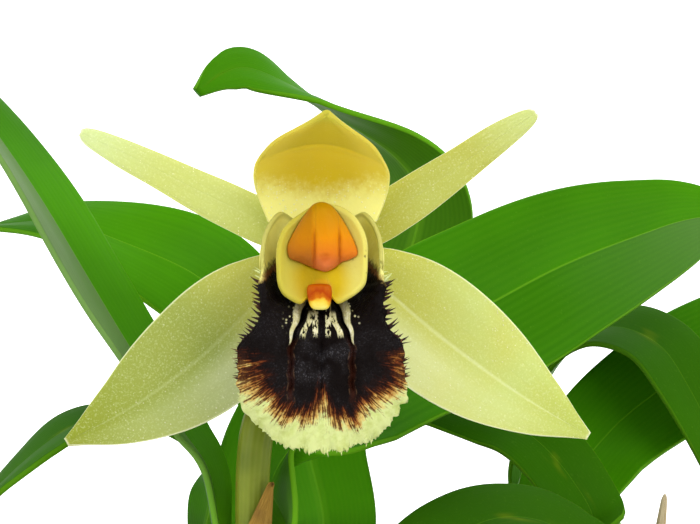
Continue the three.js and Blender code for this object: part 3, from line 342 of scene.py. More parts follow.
def blade(
    spine, facing, half_width, profile, fold, curl, base_fold=None, base_share=1.0, ruffle=0.0, waves=5.0,
    crease=0.006,
):
    """The middle surface of a leaf, sepal or petal: u from -1 to 1, v from 0 to 1."""
    curve = Spline(spine)
    base_fold = fold if base_fold is None else base_fold

    def place(u, v):
        rows, back = np.unique(v, return_inverse=True)
        tangent = curve.heading(rows)
        face = blended(facing, rows)
        face = unit(face - (face * tangent).sum(axis=1, keepdims=True) * tangent)
        side = np.cross(tangent, face)
        reach = (half_width * outline(profile, rows))[back]
        folded = (base_fold + (fold - base_fold) * smoothstep(rows, 0, base_share))[back]
        soft = np.sqrt(u * u + crease) - math.sqrt(crease)
        wave = ruffle * np.abs(u) ** 3 * np.sin(waves * 2 * math.pi * v + 1.3 * np.sign(u) + 2 * u)
        lift = reach * (folded * soft - curl * u * u) + wave * smoothstep(v, 0.1, 0.4)
        return curve.along(rows)[back] + side[back] * (u * reach)[:, None] + face[back] * lift[:, None]

    return place


def stem(path, radius, cap=0.03):
    """A round stem along a path: angle round it, v along it. radius(v, angle) gives its size."""
    curve = Spline(path)

    def place(angle, v):
        rows, back = np.unique(v, return_inverse=True)
        tangent = curve.heading(rows)
        side = np.zeros_like(tangent)
        start = np.cross(tangent[0], [0.3, 0.1, 0.9] if abs(tangent[0][2]) < 0.9 else [1, 0.1, 0])
        for k, ahead in enumerate(tangent):
            start = unit(start - (start @ ahead) * ahead)
            side[k] = start
        other = np.cross(tangent, side)
        ends = np.sqrt(np.clip(np.minimum(v, 1 - v) / cap, 0, 1))
        size = radius(v, angle) * np.where(np.minimum(v, 1 - v) < 1e-9, 0, ends)
        out = side[back] * np.cos(angle)[:, None] + other[back] * np.sin(angle)[:, None]
        return curve.along(rows)[back] + out * size[:, None]

    return place


# ---------- pieces ----------


def fresh(name, add, location=(0, 0, 0), **options):
    """The object that an operator adds, with nothing else selected."""
    bpy.ops.object.select_all(action="DESELECT")
    add(location=location, **options)
    piece = bpy.context.object
    piece.name = piece.data.name = name
    return piece


def only(*pieces):
    """Selects these pieces and no other, and makes the first one active."""
    bpy.ops.object.select_all(action="DESELECT")
    for piece in pieces:
        piece.select_set(True)
    bpy.context.view_layer.objects.active = pieces[0]


def corners(mesh):
    points = np.empty(len(mesh.vertices) * 3)
    mesh.vertices.foreach_get("co", points)
    return points.reshape(-1, 3)


def shaped(piece, points):
    """Puts the piece's vertices at these points, given in millimetres."""
    piece.data.vertices.foreach_set("co", (np.asarray(points) * MM).ravel())
    piece.data.update()


def apply(piece, kind, **settings):
    only(piece)
    modifier = piece.modifiers.new(kind, kind)
    for key, value in settings.items():
        setattr(modifier, key, value)
    bpy.ops.object.modifier_apply(modifier=modifier.name)


def in_edit_mode(piece, *steps):
    """Runs operators on all of the piece in edit mode."""
    only(piece)
    bpy.ops.object.mode_set(mode="EDIT")
    bpy.ops.mesh.select_all(action="SELECT")
    for step, options in steps:
        step(**options)
    bpy.ops.object.mode_set(mode="OBJECT")


def grid_piece(name, faces, place):
    across, along = faces
    piece = fresh(name, bpy.ops.mesh.primitive_grid_add, x_subdivisions=across, y_subdivisions=along, size=2)
    flat = np.round(corners(piece.data), 6)
    shaped(piece, place(flat[:, 0], (flat[:, 1] + 1) / 2))
    return piece


def tube_piece(name, faces, place):
    """A closed skin: place(angle, v) closes on a point at v = 0 and at v = 1."""
    piece = grid_piece(name, faces, lambda u, v: place(math.pi * (u + 1), v))
    in_edit_mode(
        piece,
        (bpy.ops.mesh.remove_doubles, {"threshold": SAME_POINT * MM}),
        (bpy.ops.mesh.dissolve_degenerate, {"threshold": NO_LENGTH * MM}),
        (bpy.ops.mesh.normals_make_consistent, {"inside": False}),
    )
    return piece


def sheet_piece(name, faces, place, thickness, thin_edge=0.5, finishes=()):
    """A sheet of this thickness, in millimetres, that thins to its margin. Two finishes are its upper and its under."""
    piece = grid_piece(name, faces, place)
    for finish in finishes:
        piece.data.materials.append(finish)
    uv = np.empty(len(piece.data.loops) * 2)
    piece.data.uv_layers.active.data.foreach_get("uv", uv)
    u = np.empty(len(piece.data.vertices))
    loops = np.empty(len(piece.data.loops), int)
    piece.data.loops.foreach_get("vertex_index", loops)
    u[loops] = uv.reshape(-1, 2)[:, 0] * 2 - 1
    group = piece.vertex_groups.new(name="thickness")
    for share in np.unique(np.round(np.abs(u), 3)):
        members = np.nonzero(np.round(np.abs(u), 3) == share)[0].tolist()
        group.add(members, float(1 - (1 - thin_edge) * smoothstep(share, 0.6, 1.0)), "REPLACE")
    apply(
        piece, "SOLIDIFY", thickness=thickness * MM, offset=0, vertex_group=group.name,
        thickness_vertex_group=thin_edge, material_offset=len(finishes) // 2, material_offset_rim=0,
    )
    piece.vertex_groups.clear()
    return piece


def merged(pieces, name):
    """One piece made of several."""
    only(*pieces)
    bpy.ops.object.join()
    pieces[0].name = pieces[0].data.name = name
    return pieces[0]


def mark(piece, name, values):
    """A number for each of the piece's corners, or one for them all, that its material reads."""
    attribute = piece.data.attributes.new(name, "FLOAT", "POINT")
    attribute.data.foreach_set("value", np.full(len(piece.data.vertices), values, float))


def seat(piece, slot, *nodes, finish=None, sharp=None):
    """The finished piece rides on the plant and stands for its solids. The slot is not used.

    Edges beyond the angle sharp, in degrees, stay sharp.
    """
    if finish:
        piece.data.materials.clear()
        piece.data.materials.append(finish)
    only(piece)
    if sharp:
        bpy.ops.object.shade_smooth_by_angle(angle=math.radians(sharp))
    else:
        bpy.ops.object.shade_smooth()
    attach(piece, "root")
    if nodes:
        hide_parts(*nodes)
    return piece


# ---------- shading ----------


class Wire:
    """A value in a material, which Python's operators work on."""

    def __init__(self, paint, socket):
        self.paint, self.socket = paint, socket

    def _maths(self, operation, *others):
        return self.paint.node("ShaderNodeMath", {"operation": operation}, dict(enumerate([self, *others])))

    def __add__(self, other):
        return self._maths("ADD", other)

    def __sub__(self, other):
        return self._maths("SUBTRACT", other)

    def __mul__(self, other):
        return self._maths("MULTIPLY", other)

    def __truediv__(self, other):
        return self._maths("DIVIDE", other)

    def __pow__(self, other):
        return self._maths("POWER", other)

    def __rsub__(self, other):
        return self.paint.node("ShaderNodeMath", {"operation": "SUBTRACT"}, {0: other, 1: self})

    def __abs__(self):
        return self._maths("ABSOLUTE")

    __radd__, __rmul__ = __add__, __mul__

    def sine(self):
        return self._maths("SINE")

    def wave(self):
        """The sine, from 0 to 1."""
        return self.sine() * 0.5 + 0.5

    def most(self, other):
        return self._maths("MAXIMUM", other)

    def between(self, low, high):
        """0 at low, 1 at high, smooth between and level beyond."""
        return self.paint.node(
            "ShaderNodeMapRange", {"interpolation_type": "SMOOTHSTEP"},
            {"Value": self, "From Min": low, "From Max": high},
        )


def bell(value, middle, width):
    """1 where the wire's value is at the middle, and 0 from a width away."""
    return 1 - abs(value - middle).between(0, width)


class Paint:
    """A material whose pattern is drawn by nodes."""

    def __init__(self, name, **sockets):
        self.material = bpy.data.materials.new(name)
        self.material.use_nodes = True
        self.tree = self.material.node_tree
        self.shader = self.tree.nodes["Principled BSDF"]
        for socket, value in sockets.items():
            self.set(self.shader.inputs[socket.replace("_", " ")], value)

    def set(self, socket, value):
        if isinstance(value, Wire):
            self.tree.links.new(value.socket, socket)
        elif socket.type == "RGBA" and len(value) == 3:
            socket.default_value = (*value, 1)
        else:
            socket.default_value = value

    def node(self, kind, settings=None, inputs=None, out=0):
        node = self.tree.nodes.new(kind)
        settings = dict(settings or {})
        stops = settings.pop("stops", [])
        for k, (place, colour) in enumerate(stops):
            elements = node.color_ramp.elements
            stop = elements[-1] if k == len(stops) - 1 else elements[0] if k == 0 else elements.new(place)
            stop.position, stop.color = place, (*colour, 1)
        for key, value in settings.items():
            setattr(node, key, value)
        for key, value in (inputs or {}).items():
            self.set(node.inputs[key], value)
        return Wire(self, node.outputs[out])

    def feed(self, **sockets):
        for socket, value in sockets.items():
            self.set(self.shader.inputs[socket.replace("_", " ")], value)
        return self.material

    def straight(self, value, low, high, first=0.0, last=1.0):
        """first at low, last at high, straight between and level beyond."""
        return self.node(
            "ShaderNodeMapRange", None,
            {"Value": value, "From Min": low, "From Max": high, "To Min": first, "To Max": last},
        )

    def flower_point(self):
        """x, y and z in the flower's own frame, in millimetres."""
        x, y, z = self.split(self.object_point())
        c, s = math.cos(FLOWER_TILT), math.sin(FLOWER_TILT)
        x, y, z = (axis * 1000 - float(middle) for axis, middle in zip((x, y, z), FLOWER_CENTRE))
        return x, y * c - z * s, z * c + y * s

    def object_point(self):
        return self.node("ShaderNodeTexCoord", out="Object")

    def attribute(self, name):
        """A number that the piece's mesh carries at each point."""
        return self.node("ShaderNodeAttribute", {"attribute_name": name}, out="Fac")

    def split(self, vector):
        separate = self.node("ShaderNodeSeparateXYZ", None, {0: vector}).socket.node
        return [Wire(self, separate.outputs[k]) for k in range(3)]

    def joint(self, x, y, z=0.0):
        return self.node("ShaderNodeCombineXYZ", None, {0: x, 1: y, 2: z})

    def across_along(self):
        """u from -1 to 1 across the piece, and v from 0 to 1 along it."""
        u, v, _ = self.split(self.node("ShaderNodeTexCoord", out="UV"))
        return u * 2 - 1, v

    def noise(self, vector, scale, detail=2.0, roughness=0.5):
        return self.node(
            "ShaderNodeTexNoise", None,
            {"Vector": vector, "Scale": scale, "Detail": detail, "Roughness": roughness},
        )

    def cells(self, vector, scale, out="Distance"):
        return self.node("ShaderNodeTexVoronoi", None, {"Vector": vector, "Scale": scale}, out)

    def mix(self, share, first, second):
        return self.node("ShaderNodeMix", {"data_type": "RGBA"}, {0: share, 6: first, 7: second}, 2)

    def over(self, colour, *layers):
        """The colour with each layer's share and colour laid over it in turn."""
        for share, layer in layers:
            colour = self.mix(share, colour, layer)
        return colour

    def ramp(self, value, stops):
        return self.node("ShaderNodeValToRGB", {"stops": stops}, {0: value})

    def relief(self, height, depth):
        """A bump of this depth, in millimetres."""
        return self.node("ShaderNodeBump", None, {"Height": height, "Distance": depth * MM, "Strength": 1.0})

    def specks(self, point, scale, size, share):
        """Small bright grains: about this share of the cells holds one."""
        near = 1 - self.cells(point, scale).between(size * 0.4, size)
        red, _, _ = self.split(self.cells(point, scale, out="Color"))
        return near * red.between(1 - share, 1 - share + 0.02)


def living(name, gloss, clear, reach, depth, **sockets):
    """A material of living tissue, which lets light in.

    gloss is its shine, clear is how much light it lets in, reach is how far each colour goes, as shares of depth,
    and depth is in millimetres.
    """
    return Paint(
        name, Specular_IOR_Level=gloss, Subsurface_Weight=clear, Subsurface_Radius=reach, Subsurface_Scale=depth * MM,
        **sockets)


# ---------- settings ----------


def colour_setting(name, description, colour):
    return FloatVectorProperty(
        name=name, description=description, subtype="COLOR", size=3, min=0, max=1, default=colour)


class OrchidLeafSettings(bpy.types.PropertyGroup):
    thickness: FloatProperty(
        name="Thickness", description="Thickness of a leaf at its midrib", default=0.6 * MM, unit="LENGTH", precision=5)
    upper: colour_setting("Upper face", "Colour of a leaf's upper face", srgb(67, 139, 0))
    shade: colour_setting("Deep green", "Colour of a leaf's darker patches", srgb(48, 108, 0))
    # The colour leaves darken to, which also serves as painted shade on the lower leaves.
    aged_and_shaded: colour_setting("Old leaves", "Colour that leaves darken to as they age", srgb(42, 88, 0))
    rib: colour_setting("Midrib", "Colour of a leaf's midrib and veins", srgb(124, 184, 36))
    under: colour_setting("Underside", "Colour of a leaf's underside", srgb(80, 158, 6))
    bulb: colour_setting("Pseudobulb", "Colour of the pseudobulbs", srgb(118, 150, 44))


class OrchidFlowerSettings(bpy.types.PropertyGroup):
    tepal: FloatProperty(
        name="Tepal thickness", description="Thickness of the sepals and petals", default=0.5 * MM, unit="LENGTH",
        precision=5)
    sepal: colour_setting("Sepals", "Colour of the lateral sepals", srgb(192, 206, 124))
    sepal_shade: colour_setting("Shaded sepal", "Colour of the left lateral sepal", srgb(138, 152, 68))
    petal: colour_setting("Petals", "Colour of the petals", srgb(192, 200, 116))
    hood: colour_setting("Hood", "Colour of the dorsal sepal", srgb(216, 192, 42))
    lip_dark: colour_setting("Lip centre", "Colour of the middle of the lip", srgb(12, 6, 5))
    lip_brown: colour_setting("Lip streaks", "Colour of the streaks round the lip's middle", srgb(84, 36, 14))
    lip_pale: colour_setting("Lip margin", "Colour of the lip's frilled margin", srgb(206, 216, 144))
    column: colour_setting("Column", "Colour of the column", srgb(212, 202, 98))
    anther: colour_setting("Anther cap", "Colour of the anther cap", srgb(214, 134, 2))
    fringe: IntProperty(name="Fringe", description="Spines and teeth on each side of the lip", default=32, min=1)


class OrchidPotSettings(bpy.types.PropertyGroup):
    clay: colour_setting("Clay", "Colour of the pot", srgb(181, 103, 72))
    bark: colour_setting("Bark", "Colour of the bark", srgb(104, 68, 44))
    sides: IntProperty(name="Sides", description="Faces round the pot", default=144, min=24)


class OrchidStageSettings(bpy.types.PropertyGroup):
    key: FloatProperty(name="Key light", description="Power of the main soft light", default=2.5, unit="POWER")
    top: FloatProperty(name="Top light", description="Power of the soft light from above", default=1.4, unit="POWER")
    fill: FloatProperty(name="Fill light", description="Power of the light from the left", default=1.2, unit="POWER")
    sky: FloatProperty(name="Surrounding light", description="Strength of the light from all round", default=0.84)


SETTINGS = {
    "orchid_leaf": OrchidLeafSettings,
    "orchid_flower": OrchidFlowerSettings,
    "orchid_pot": OrchidPotSettings,
    "orchid_stage": OrchidStageSettings,
}


# ---------- materials ----------


def leaf_tissue(name, gloss, **sockets):
    """What both faces of a leaf share: material, u, v, point, age with painted shade, clouds and faint parallel veins.
    """
    paint = living(name, gloss, 0.03, (0.3, 1.0, 0.02), 2, **sockets)
    u, v = paint.across_along()
    point = paint.object_point()
    veins = (u * 70 + paint.noise(paint.joint(u * 3, v * 4), 1.0, 2) * 4).wave()
    return paint, u, v, point, paint.attribute("age"), paint.noise(point, 55, 3), veins


def leaf_face(settings):
    """Satin upper face of a leaf: cloudy green, with a channelled midrib, and painted shade and a painted sheen on one
    half of its fold.
    """
    paint, u, v, point, age, clouds, veins = leaf_tissue("leaf_upper", 0.03, Coat_Roughness=0.36)
    bands = paint.noise(paint.joint(u * 7, v * 0.8), 1.4, 2).between(0.35, 0.7)
    rib = 1 - abs(u).between(0.006, 0.022)
    margin = abs(u).between(0.985, 0.999)
    side = paint.attribute("sheen")
    # The marked half of the fold is darkened below as painted shade.
    shaded_half = (u * side).between(-0.012, 0.012) * abs(side)
    streak = (1 - abs(u + 0.05).between(0.03, 0.3)) * paint.noise(paint.joint(u, v * 5), 1.6, 2).between(0.5, 0.7)
    # A painted sheen on the marked half: a grey-green painted reflection in the colour, which also sets the coat.
    sheen = shaded_half * (v + clouds * 0.2 - side * 0.34).between(0.4, 0.8) * (0.8 - side * 0.2)
    fine = paint.noise(point, 5200, 2)
    green = paint.over(
        paint.mix(clouds.between(0.25, 0.75), settings.shade, settings.upper),
        (bands * 0.2 + shaded_half * 0.8, settings.shade), (veins * 0.035, settings.rib),
        # Darkening by age, which is partly painted shade on the lower leaves.
        ((1 - v.between(0.0, 0.3)) * 0.25, settings.rib), (age, settings.aged_and_shaded),
        (streak * age * 0.4, srgb(138, 150, 20)), ((rib * 0.3).most(margin * 0.35) * (1 - age * 0.5), settings.rib),
        (sheen * 0.4, srgb(128, 140, 104)), (fine.between(0.62, 0.76) * 0.08, srgb(130, 180, 60)),
    )
    return paint.feed(
        Base_Color=green, Roughness=0.4 + paint.noise(point, 300, 3) * 0.1 + age * 0.3,
        Coat_Weight=sheen * 0.12 + 0.01, Normal=paint.relief(veins * 0.12 + fine * 0.12 - rib * 0.8, 0.04),
    )


def leaf_under(settings):
    """Underside of a leaf: duller, brighter towards its base but with painted shade at the very base, and a raised
    midrib.
    """
    paint, u, v, point, age, clouds, veins = leaf_tissue("leaf_under", 0.06)
    rib = (1 - abs(u).between(0.012, 0.04)).most((1 - abs(u).between(0.03, 0.16)) * 0.5)
    green = paint.over(
        # Painted shade: the first part of the underside, at the leaf's base, is dark green.
        paint.mix(v.between(0.15, 0.21), srgb(46, 100, 2), settings.under),
        (v.between(0.42, 0.56) * 0.85, srgb(68, 112, 20)), (clouds.between(0.3, 0.7) * 0.3, settings.shade),
        # Darkening by age, which is partly painted shade on the lower leaves.
        (age * 0.7, settings.aged_and_shaded), (veins * 0.05 + rib * 0.35, settings.rib),
    )
    height = veins * 0.2 + rib * 1.2 + paint.noise(point, 4200, 2) * 0.2
    return paint.feed(
        Base_Color=green, Roughness=0.46 + paint.noise(point, 300, 2) * 0.14, Normal=paint.relief(height, 0.04),
    )


def tepal_paint(name, colour, tip, deep, line, side=0, root=None):
    """Thin crystalline tissue of a sepal or petal: fine veins, a pale rim, glittering grains and, on a sepal, painted
    light on its lower side.
    """
    paint = living(name, 0.16, 0.2, (0.9, 1.0, 0.35), 1.5)
    u, v = paint.across_along()
    point = paint.object_point()
    pale = srgb(238, 244, 196)
    clouds = paint.noise(point, 230, 3)
    broad = paint.noise(point, 95, 2)
    wander = paint.noise(paint.joint(u * 1.5, v * 3), 2.4, 2) * 2.6
    veins = (u * 21 + wander).sine().between(0.2, 1)
    rib = 1 - abs(u + paint.noise(point, 120, 1) * 0.06 - 0.03).between(0.01, 0.06)
    rim = abs(u).between(0.965, 0.995).most(v.between(0.99, 1))
    near = 1 - v.between(0.1, 0.45)
    # Painted light: a sepal's lower side, chosen by side, is paler, most towards its root.
    low = (u * side).between(0.0, 0.5) * ((1 - v.between(0.35, 0.65)) * 0.3 + 0.13)
    grain = paint.noise(point, 6500, 2, 0.7)
    thick = paint.noise(point, 330, 2).between(0.35, 0.65) * 0.6 + abs(u).between(0.5, 0.95) * 0.5
    sparks = paint.specks(point, 5200, 0.34, 0.12).most(paint.specks(point, 3300, 0.26, 0.05)) * thick
    tissue = paint.over(
        colour, (broad.between(0.3, 0.65) * 0.5 + clouds.between(0.4, 0.8) * 0.25, deep), (near * 0.75, root or deep),
        (low, pale), (v.between(0.62, 1.0) * 0.75, tip), (veins * 0.07, deep), (rib * line, pale),
        (grain.between(0.48, 0.8) * 0.3, pale), (rim * 0.7, pale), (sparks * 0.75, srgb(250, 250, 216)),
    )
    return paint.feed(
        Base_Color=tissue, Roughness=0.46 - sparks * 0.2 + clouds * 0.1,
        Normal=paint.relief(grain * 0.9 - veins * 0.35 - rib * 0.5 + sparks * 1.4, 0.03),
    )


def hood_paint(settings):
    """The dorsal sepal: golden, with painted shade beyond its crease, a pale speckled root and a thin rim."""
    paint = living("hood_tissue", 0.16, 0.25, (1.0, 0.8, 0.2), 1.5)
    u, v = paint.across_along()
    point = paint.object_point()
    _, _, z = paint.flower_point()
    clouds = paint.noise(point, 260, 3)
    ragged = paint.noise(paint.joint(u * 5, z * 0.6), 1.6, 3, 0.7) * 1.6 + paint.noise(point, 1500, 3, 0.7) * 1.6
    root = 1 - (z - ragged - abs(u) * 0.8).between(1.2, 3.6)
    sparks = paint.specks(point, 4600, 0.4, 0.3).most(paint.specks(point, 3000, 0.3, 0.15)) * (root * 0.9 + 0.05)
    gold = paint.over(
        settings.hood, (clouds.between(0.3, 0.7) * 0.4, srgb(208, 182, 56)),
        # Painted shade beyond the crease, where the hood bends over.
        (v.between(0.5, 0.58) * 0.75, srgb(174, 158, 34)), (abs(u).between(0.3, 0.95) * 0.4, srgb(226, 210, 92)),
        (root * 0.9, srgb(250, 246, 158)), (v.between(0.84, 0.97) * 0.6, srgb(178, 180, 58)),
        (abs(u).between(0.98, 0.999) * 0.3, srgb(190, 176, 60)), (sparks * 0.75, srgb(250, 248, 218)),
    )
    return paint.feed(
        Base_Color=gold, Roughness=0.44 + clouds * 0.1,
        Normal=paint.relief(paint.noise(point, 5000, 2) * 0.5 + sparks, 0.03),
    )


def lip_paint(settings):
    """The lip: near-black middle, dark streaks that ray out over gold, and a pale frilled margin."""
    paint = living("lip_tissue", 0.05, 0.04, (1.0, 0.6, 0.2), 1)
    point = paint.object_point()
    u, _ = paint.across_along()
    x, _, z = paint.flower_point()
    beside, drop = abs(x), z * -1
    down = drop - LIP_MIDDLE
    reach = (beside * beside + down * down) ** 0.5
    angle = paint.node("ShaderNodeMath", {"operation": "ARCTAN2"}, {0: x, 1: down})
    turn = abs(angle)
    broad = paint.noise(paint.joint(angle * 6, reach * 0.3), 1.0, 2, 0.5) - 0.5
    rays = paint.noise(paint.joint(angle * 17, reach * 0.4, 7.0), 1.0, 3, 0.65) - 0.5
    fine = paint.noise(paint.joint(angle * 46, reach * 0.75, 3.0), 1.0, 3, 0.65)
    gap = (1 - turn.between(0.06, 0.3)) * 1.9
    lobes = bell(angle, 0.42, 0.26).most(bell(angle, -0.48, 0.18)) * 0.6
    mottle = paint.noise(point, 2400, 3, 0.65) - 0.5
    core = paint.straight(turn, 0.8, 1.3, 4.05, 4.85) + lobes - gap - bell(angle, -1.5, 0.7) * 0.9
    spread = paint.straight(turn, 0.7, 1.4, 1.7, 2.7) + gap * 0.5 + bell(angle, -1.5, 0.7) * 1.2
    tone = (reach - core) / spread + broad * 1.4 + rays * 0.9 + mottle * 0.8
    tone = tone - (1 - down.between(-1.5, 0.3)) * 2.5
    ground = paint.ramp(tone * 0.5 + 0.25, [
        (0.0, settings.lip_dark), (0.2, settings.lip_dark), (0.32, srgb(62, 24, 12)), (0.46, srgb(112, 54, 22)),
        (0.58, srgb(160, 110, 50)), (0.7, srgb(206, 178, 100)), (0.84, settings.lip_pale)])
    hem = abs(u).between(0.9, 0.99) * (1 - down.between(0.4, 2.2))
    blotches = tone.between(1.0, 1.5) * (mottle * 0.6 + broad).between(-0.1, 0.2)
    limit = paint.straight(tone, 0.0, 1.45, 0.6, 0.42)
    streaks = (1 - (fine - limit).between(-0.02, 0.02)) * (1 - tone.between(0.95, 1.35)) * tone.between(-0.3, 0.1)

    start, end, first, last = KEEL_RUN
    line = paint.straight(drop, start, end, first, last) + (drop * 4.1).sine() * 0.06
    low = drop.between(6.8, 7.6) * (1 - drop.between(11.0, 12.2))
    speckle = paint.noise(paint.joint(x * 3.4, drop * 1.5), 1.0, 4, 0.7)
    crest = bell(abs(beside - line), 0.26, 0.08) * (speckle + mottle * 0.4).between(0.48, 0.6) * low
    lengths = (1 - (drop + speckle * 1.6).between(7.5, 7.9)) * drop.between(3.6, 4.0)
    width = paint.straight(drop, 4.0, 7.7, 0.84, 0.04)
    outer = 1 - abs(beside - line - 0.16 - width * 0.5).between(width * 0.4, width * 0.6)
    outer = outer * (1 - drop.between(7.3, 7.6)) * (speckle + 0.12).between(0.42, 0.5)
    inner = bell(beside, line - 0.6, 0.4).between(0.3, 0.5) * speckle.between(0.4, 0.46) * drop.between(4.9, 5.3)
    middle = bell(beside, 0.48, 0.34).between(0.25, 0.45) * speckle.between(0.47, 0.5)
    flecks = paint.specks(paint.joint(x * MM, drop * MM), 3800, 0.42, 0.5)
    flecks = flecks * bell(beside, line + 0.9, 0.7) * (1 - drop.between(5.4, 6.8))
    drips = outer.most(inner.most(middle) * lengths)

    ragged = drop + paint.noise(point, 2600, 3, 0.7) * 1.6 - (beside - 4.1) * 0.9
    ear = (1 - ragged.between(2.0, 2.8)).most(beside.between(4.1, 4.6) * (1 - ragged.between(2.4, 3.4)))
    flesh = paint.over(
        srgb(248, 244, 156), (paint.noise(point, 700, 3), srgb(230, 222, 116)),
        (abs(u).between(0.93, 0.985), srgb(196, 192, 104)))

    pale = tone.between(0.9, 1.5).most(ear)
    warts = paint.noise(point, 5200, 3, 0.6)
    knobs = 1 - paint.cells(point, 3600).between(0.1, 0.55)
    dark = (1 - tone.between(-0.4, 0.6)) * (1 - ear) * (1 - drips)
    boss = bell(x, 0.1, 2.8) * bell(drop, 8.8, 2.6)
    lit = (boss * 0.8 + 0.1) * paint.noise(point, 420, 2).between(0.36, 0.62) * dark
    hairs = paint.noise(paint.joint(angle * 60, reach * 4, 1.0), 1.0, 2, 0.6)
    glints = (paint.noise(point, 6500, 3, 0.8) + hairs * 0.5).between(0.8, 0.92)

    colour = paint.over(
        ground, (hem * 0.55, settings.lip_dark), (blotches * 0.6, srgb(176, 188, 96)),
        (streaks * 0.9, paint.mix(tone.between(0.1, 1.3), settings.lip_dark, settings.lip_brown)),
        (bell(beside, line, 0.34) * low * 0.6, srgb(62, 28, 16)), (crest * 0.32, srgb(122, 90, 62)),
        (drips.most(flecks), paint.mix(speckle.between(0.45, 0.65), srgb(206, 200, 146), srgb(236, 232, 200))),
        (bell(ragged, 2.9, 0.5) * 0.8, srgb(124, 78, 38)), (ear, flesh),
        (lit * 0.12 + glints * lit * 0.9, srgb(130, 128, 134)),
    )
    return paint.feed(
        Base_Color=colour, Roughness=0.5 - glints * lit * 0.2 + warts * 0.06,
        Normal=paint.relief((warts * 0.5 + knobs * 0.5) * (1 - pale * 0.8) + rays * 0.8 + fine * 0.5, 0.1),
    )


def fringe_paint(settings):
    """Hairs of the lip's margin: dark at their roots on the sides, pale round the apex."""
    paint = Paint("lip_hairs", Specular_IOR_Level=0.25)
    tone = paint.attribute("tone")
    return paint.feed(
        Base_Color=paint.ramp(tone, [
            (0, settings.lip_dark), (0.35, srgb(52, 24, 14)), (0.6, srgb(132, 80, 34)), (0.8, settings.lip_pale)]),
        Roughness=0.45 + tone * 0.1,
    )


def column_paint(settings):
    """The column: pale waxy flesh, deeper golden below the anther cap, with painted shade on its left side and a few
    dark dots.
    """
    paint = living("column_tissue", 0.14, 0.25, (1.0, 0.9, 0.3), 1.5)
    point = paint.object_point()
    x, y, z = paint.flower_point()
    clouds = paint.noise(point, 420, 3)
    low = (z + 2.6) * 0.8
    near = ((x + 0.1) * (x + 0.1) * 0.8 + low * low) ** 0.5 + (clouds - 0.5) * 0.6
    # Painted shade: the gold and the flesh both darken towards the column's left side.
    gold = paint.mix((x + clouds * 0.8).between(-0.9, 1.4), srgb(184, 154, 0), srgb(204, 176, 12))
    skin = paint.mix((x + clouds * 0.6).between(-2.8, 2.6), srgb(188, 176, 62), settings.column)
    stain = 1 - ((x * x) * 0.8 + (z + 3.3) * (z + 3.3)).between(0.25, 0.75)
    right = x.between(2.2, 2.5) * (1 - z.between(-1.0, -0.2))
    dots = paint.specks(point, 3000, 0.45, 0.2) * right
    flesh = paint.over(
        gold, (near.between(1.15, 2.5), skin), (y.between(-1.5, 1.5) * 0.6, srgb(210, 208, 124)),
        (stain * 0.5, srgb(226, 150, 26)), (dots * 0.8, srgb(70, 50, 20)))
    return paint.feed(
        Base_Color=flesh, Roughness=0.38 + clouds * 0.12,
        Normal=paint.relief(paint.noise(point, 3500, 2), 0.03),
    )


def tongue_paint():
    """The small tongue below the anther: deep orange above, pale below."""
    paint = living("tongue_tissue", 0.08, 0.2, (1.0, 0.6, 0.2), 1)
    point = paint.object_point()
    x, _, z = paint.flower_point()
    clouds = paint.noise(point, 2200, 3)
    rise = (z + 4.8 + (abs(x + 0.15) - 0.3).most(0) * 0.7) / 1.9 + (clouds - 0.5) * 0.45
    return paint.feed(
        Base_Color=paint.ramp(rise, [
            (0, srgb(228, 216, 110)), (0.3, srgb(224, 190, 56)), (0.46, srgb(196, 106, 6)), (0.66, srgb(166, 60, 0)),
            (0.9, srgb(180, 86, 0))]),
        Roughness=0.4 + clouds * 0.1, Normal=paint.relief(clouds, 0.06),
    )


def anther_paint(settings):
    """The anther cap: orange, with painted shade on its left and in its grooves, and a salmon lower margin."""
    paint = living("anther_tissue", 0.07, 0.12, (1.0, 0.5, 0.1), 1)
    point = paint.object_point()
    x, _, z = paint.flower_point()
    clouds = paint.noise(point, 620, 3)
    rise = (z + 1.9) / 5 + (clouds - 0.5) * 0.12
    skin = paint.ramp(rise, [
        (0, srgb(164, 80, 30)), (0.14, srgb(190, 98, 38)), (0.26, srgb(208, 114, 24)), (0.5, settings.anther),
        (0.8, srgb(190, 130, 0)), (1, srgb(176, 128, 0))])
    # Painted shade on the cap's left side, browner low down.
    left = 1 - (x + 0.6 + clouds * 0.2).between(-0.15, 0.25)
    low = 1 - rise.between(0.45, 0.75)
    # Painted shade in the two grooves, low on the cap.
    groove = bell(x, -0.52, 0.16).most(bell(x, 1.32, 0.14))
    salmon = bell(x, 0.35, 1.1) * (1 - (z + 1.3).between(-0.3, 0.35))
    skin = paint.over(
        skin, (left * 0.6, srgb(158, 100, 2)), (left * (1 - rise.between(0.1, 0.45)) * 0.7, srgb(140, 78, 24)),
        (groove * low * 0.55, srgb(158, 78, 16)), (salmon * 0.6, srgb(214, 118, 62)))
    fine = paint.noise(point, 4200, 2)
    return paint.feed(
        Base_Color=skin, Roughness=0.44 + clouds * 0.14, Normal=paint.relief(fine - groove * 1.5, 0.03),
    )


def stem_paint():
    """Green stem with fine lengthwise lines and brown scuffs."""
    paint = living("stem_skin", 0.25, 0.1, (0.8, 1.0, 0.2), 1)
    u, v = paint.across_along()
    point = paint.object_point()
    clouds = paint.noise(point, 260, 3)
    lines = (u * 60 + paint.noise(point, 300, 2) * 2).wave()
    scuff = paint.noise(paint.joint(u * 2, v * 5), 1.8, 3, 0.6).between(0.58, 0.7)
    skin = paint.over(
        srgb(98, 114, 14), (clouds.between(0.3, 0.7), srgb(122, 136, 32)), (lines * 0.05, srgb(190, 190, 100)),
        (scuff * 0.5, srgb(128, 92, 36)))
    return paint.feed(
        Base_Color=skin, Roughness=0.4 + clouds * 0.15, Normal=paint.relief(lines * 0.4 + clouds, 0.04),
    )


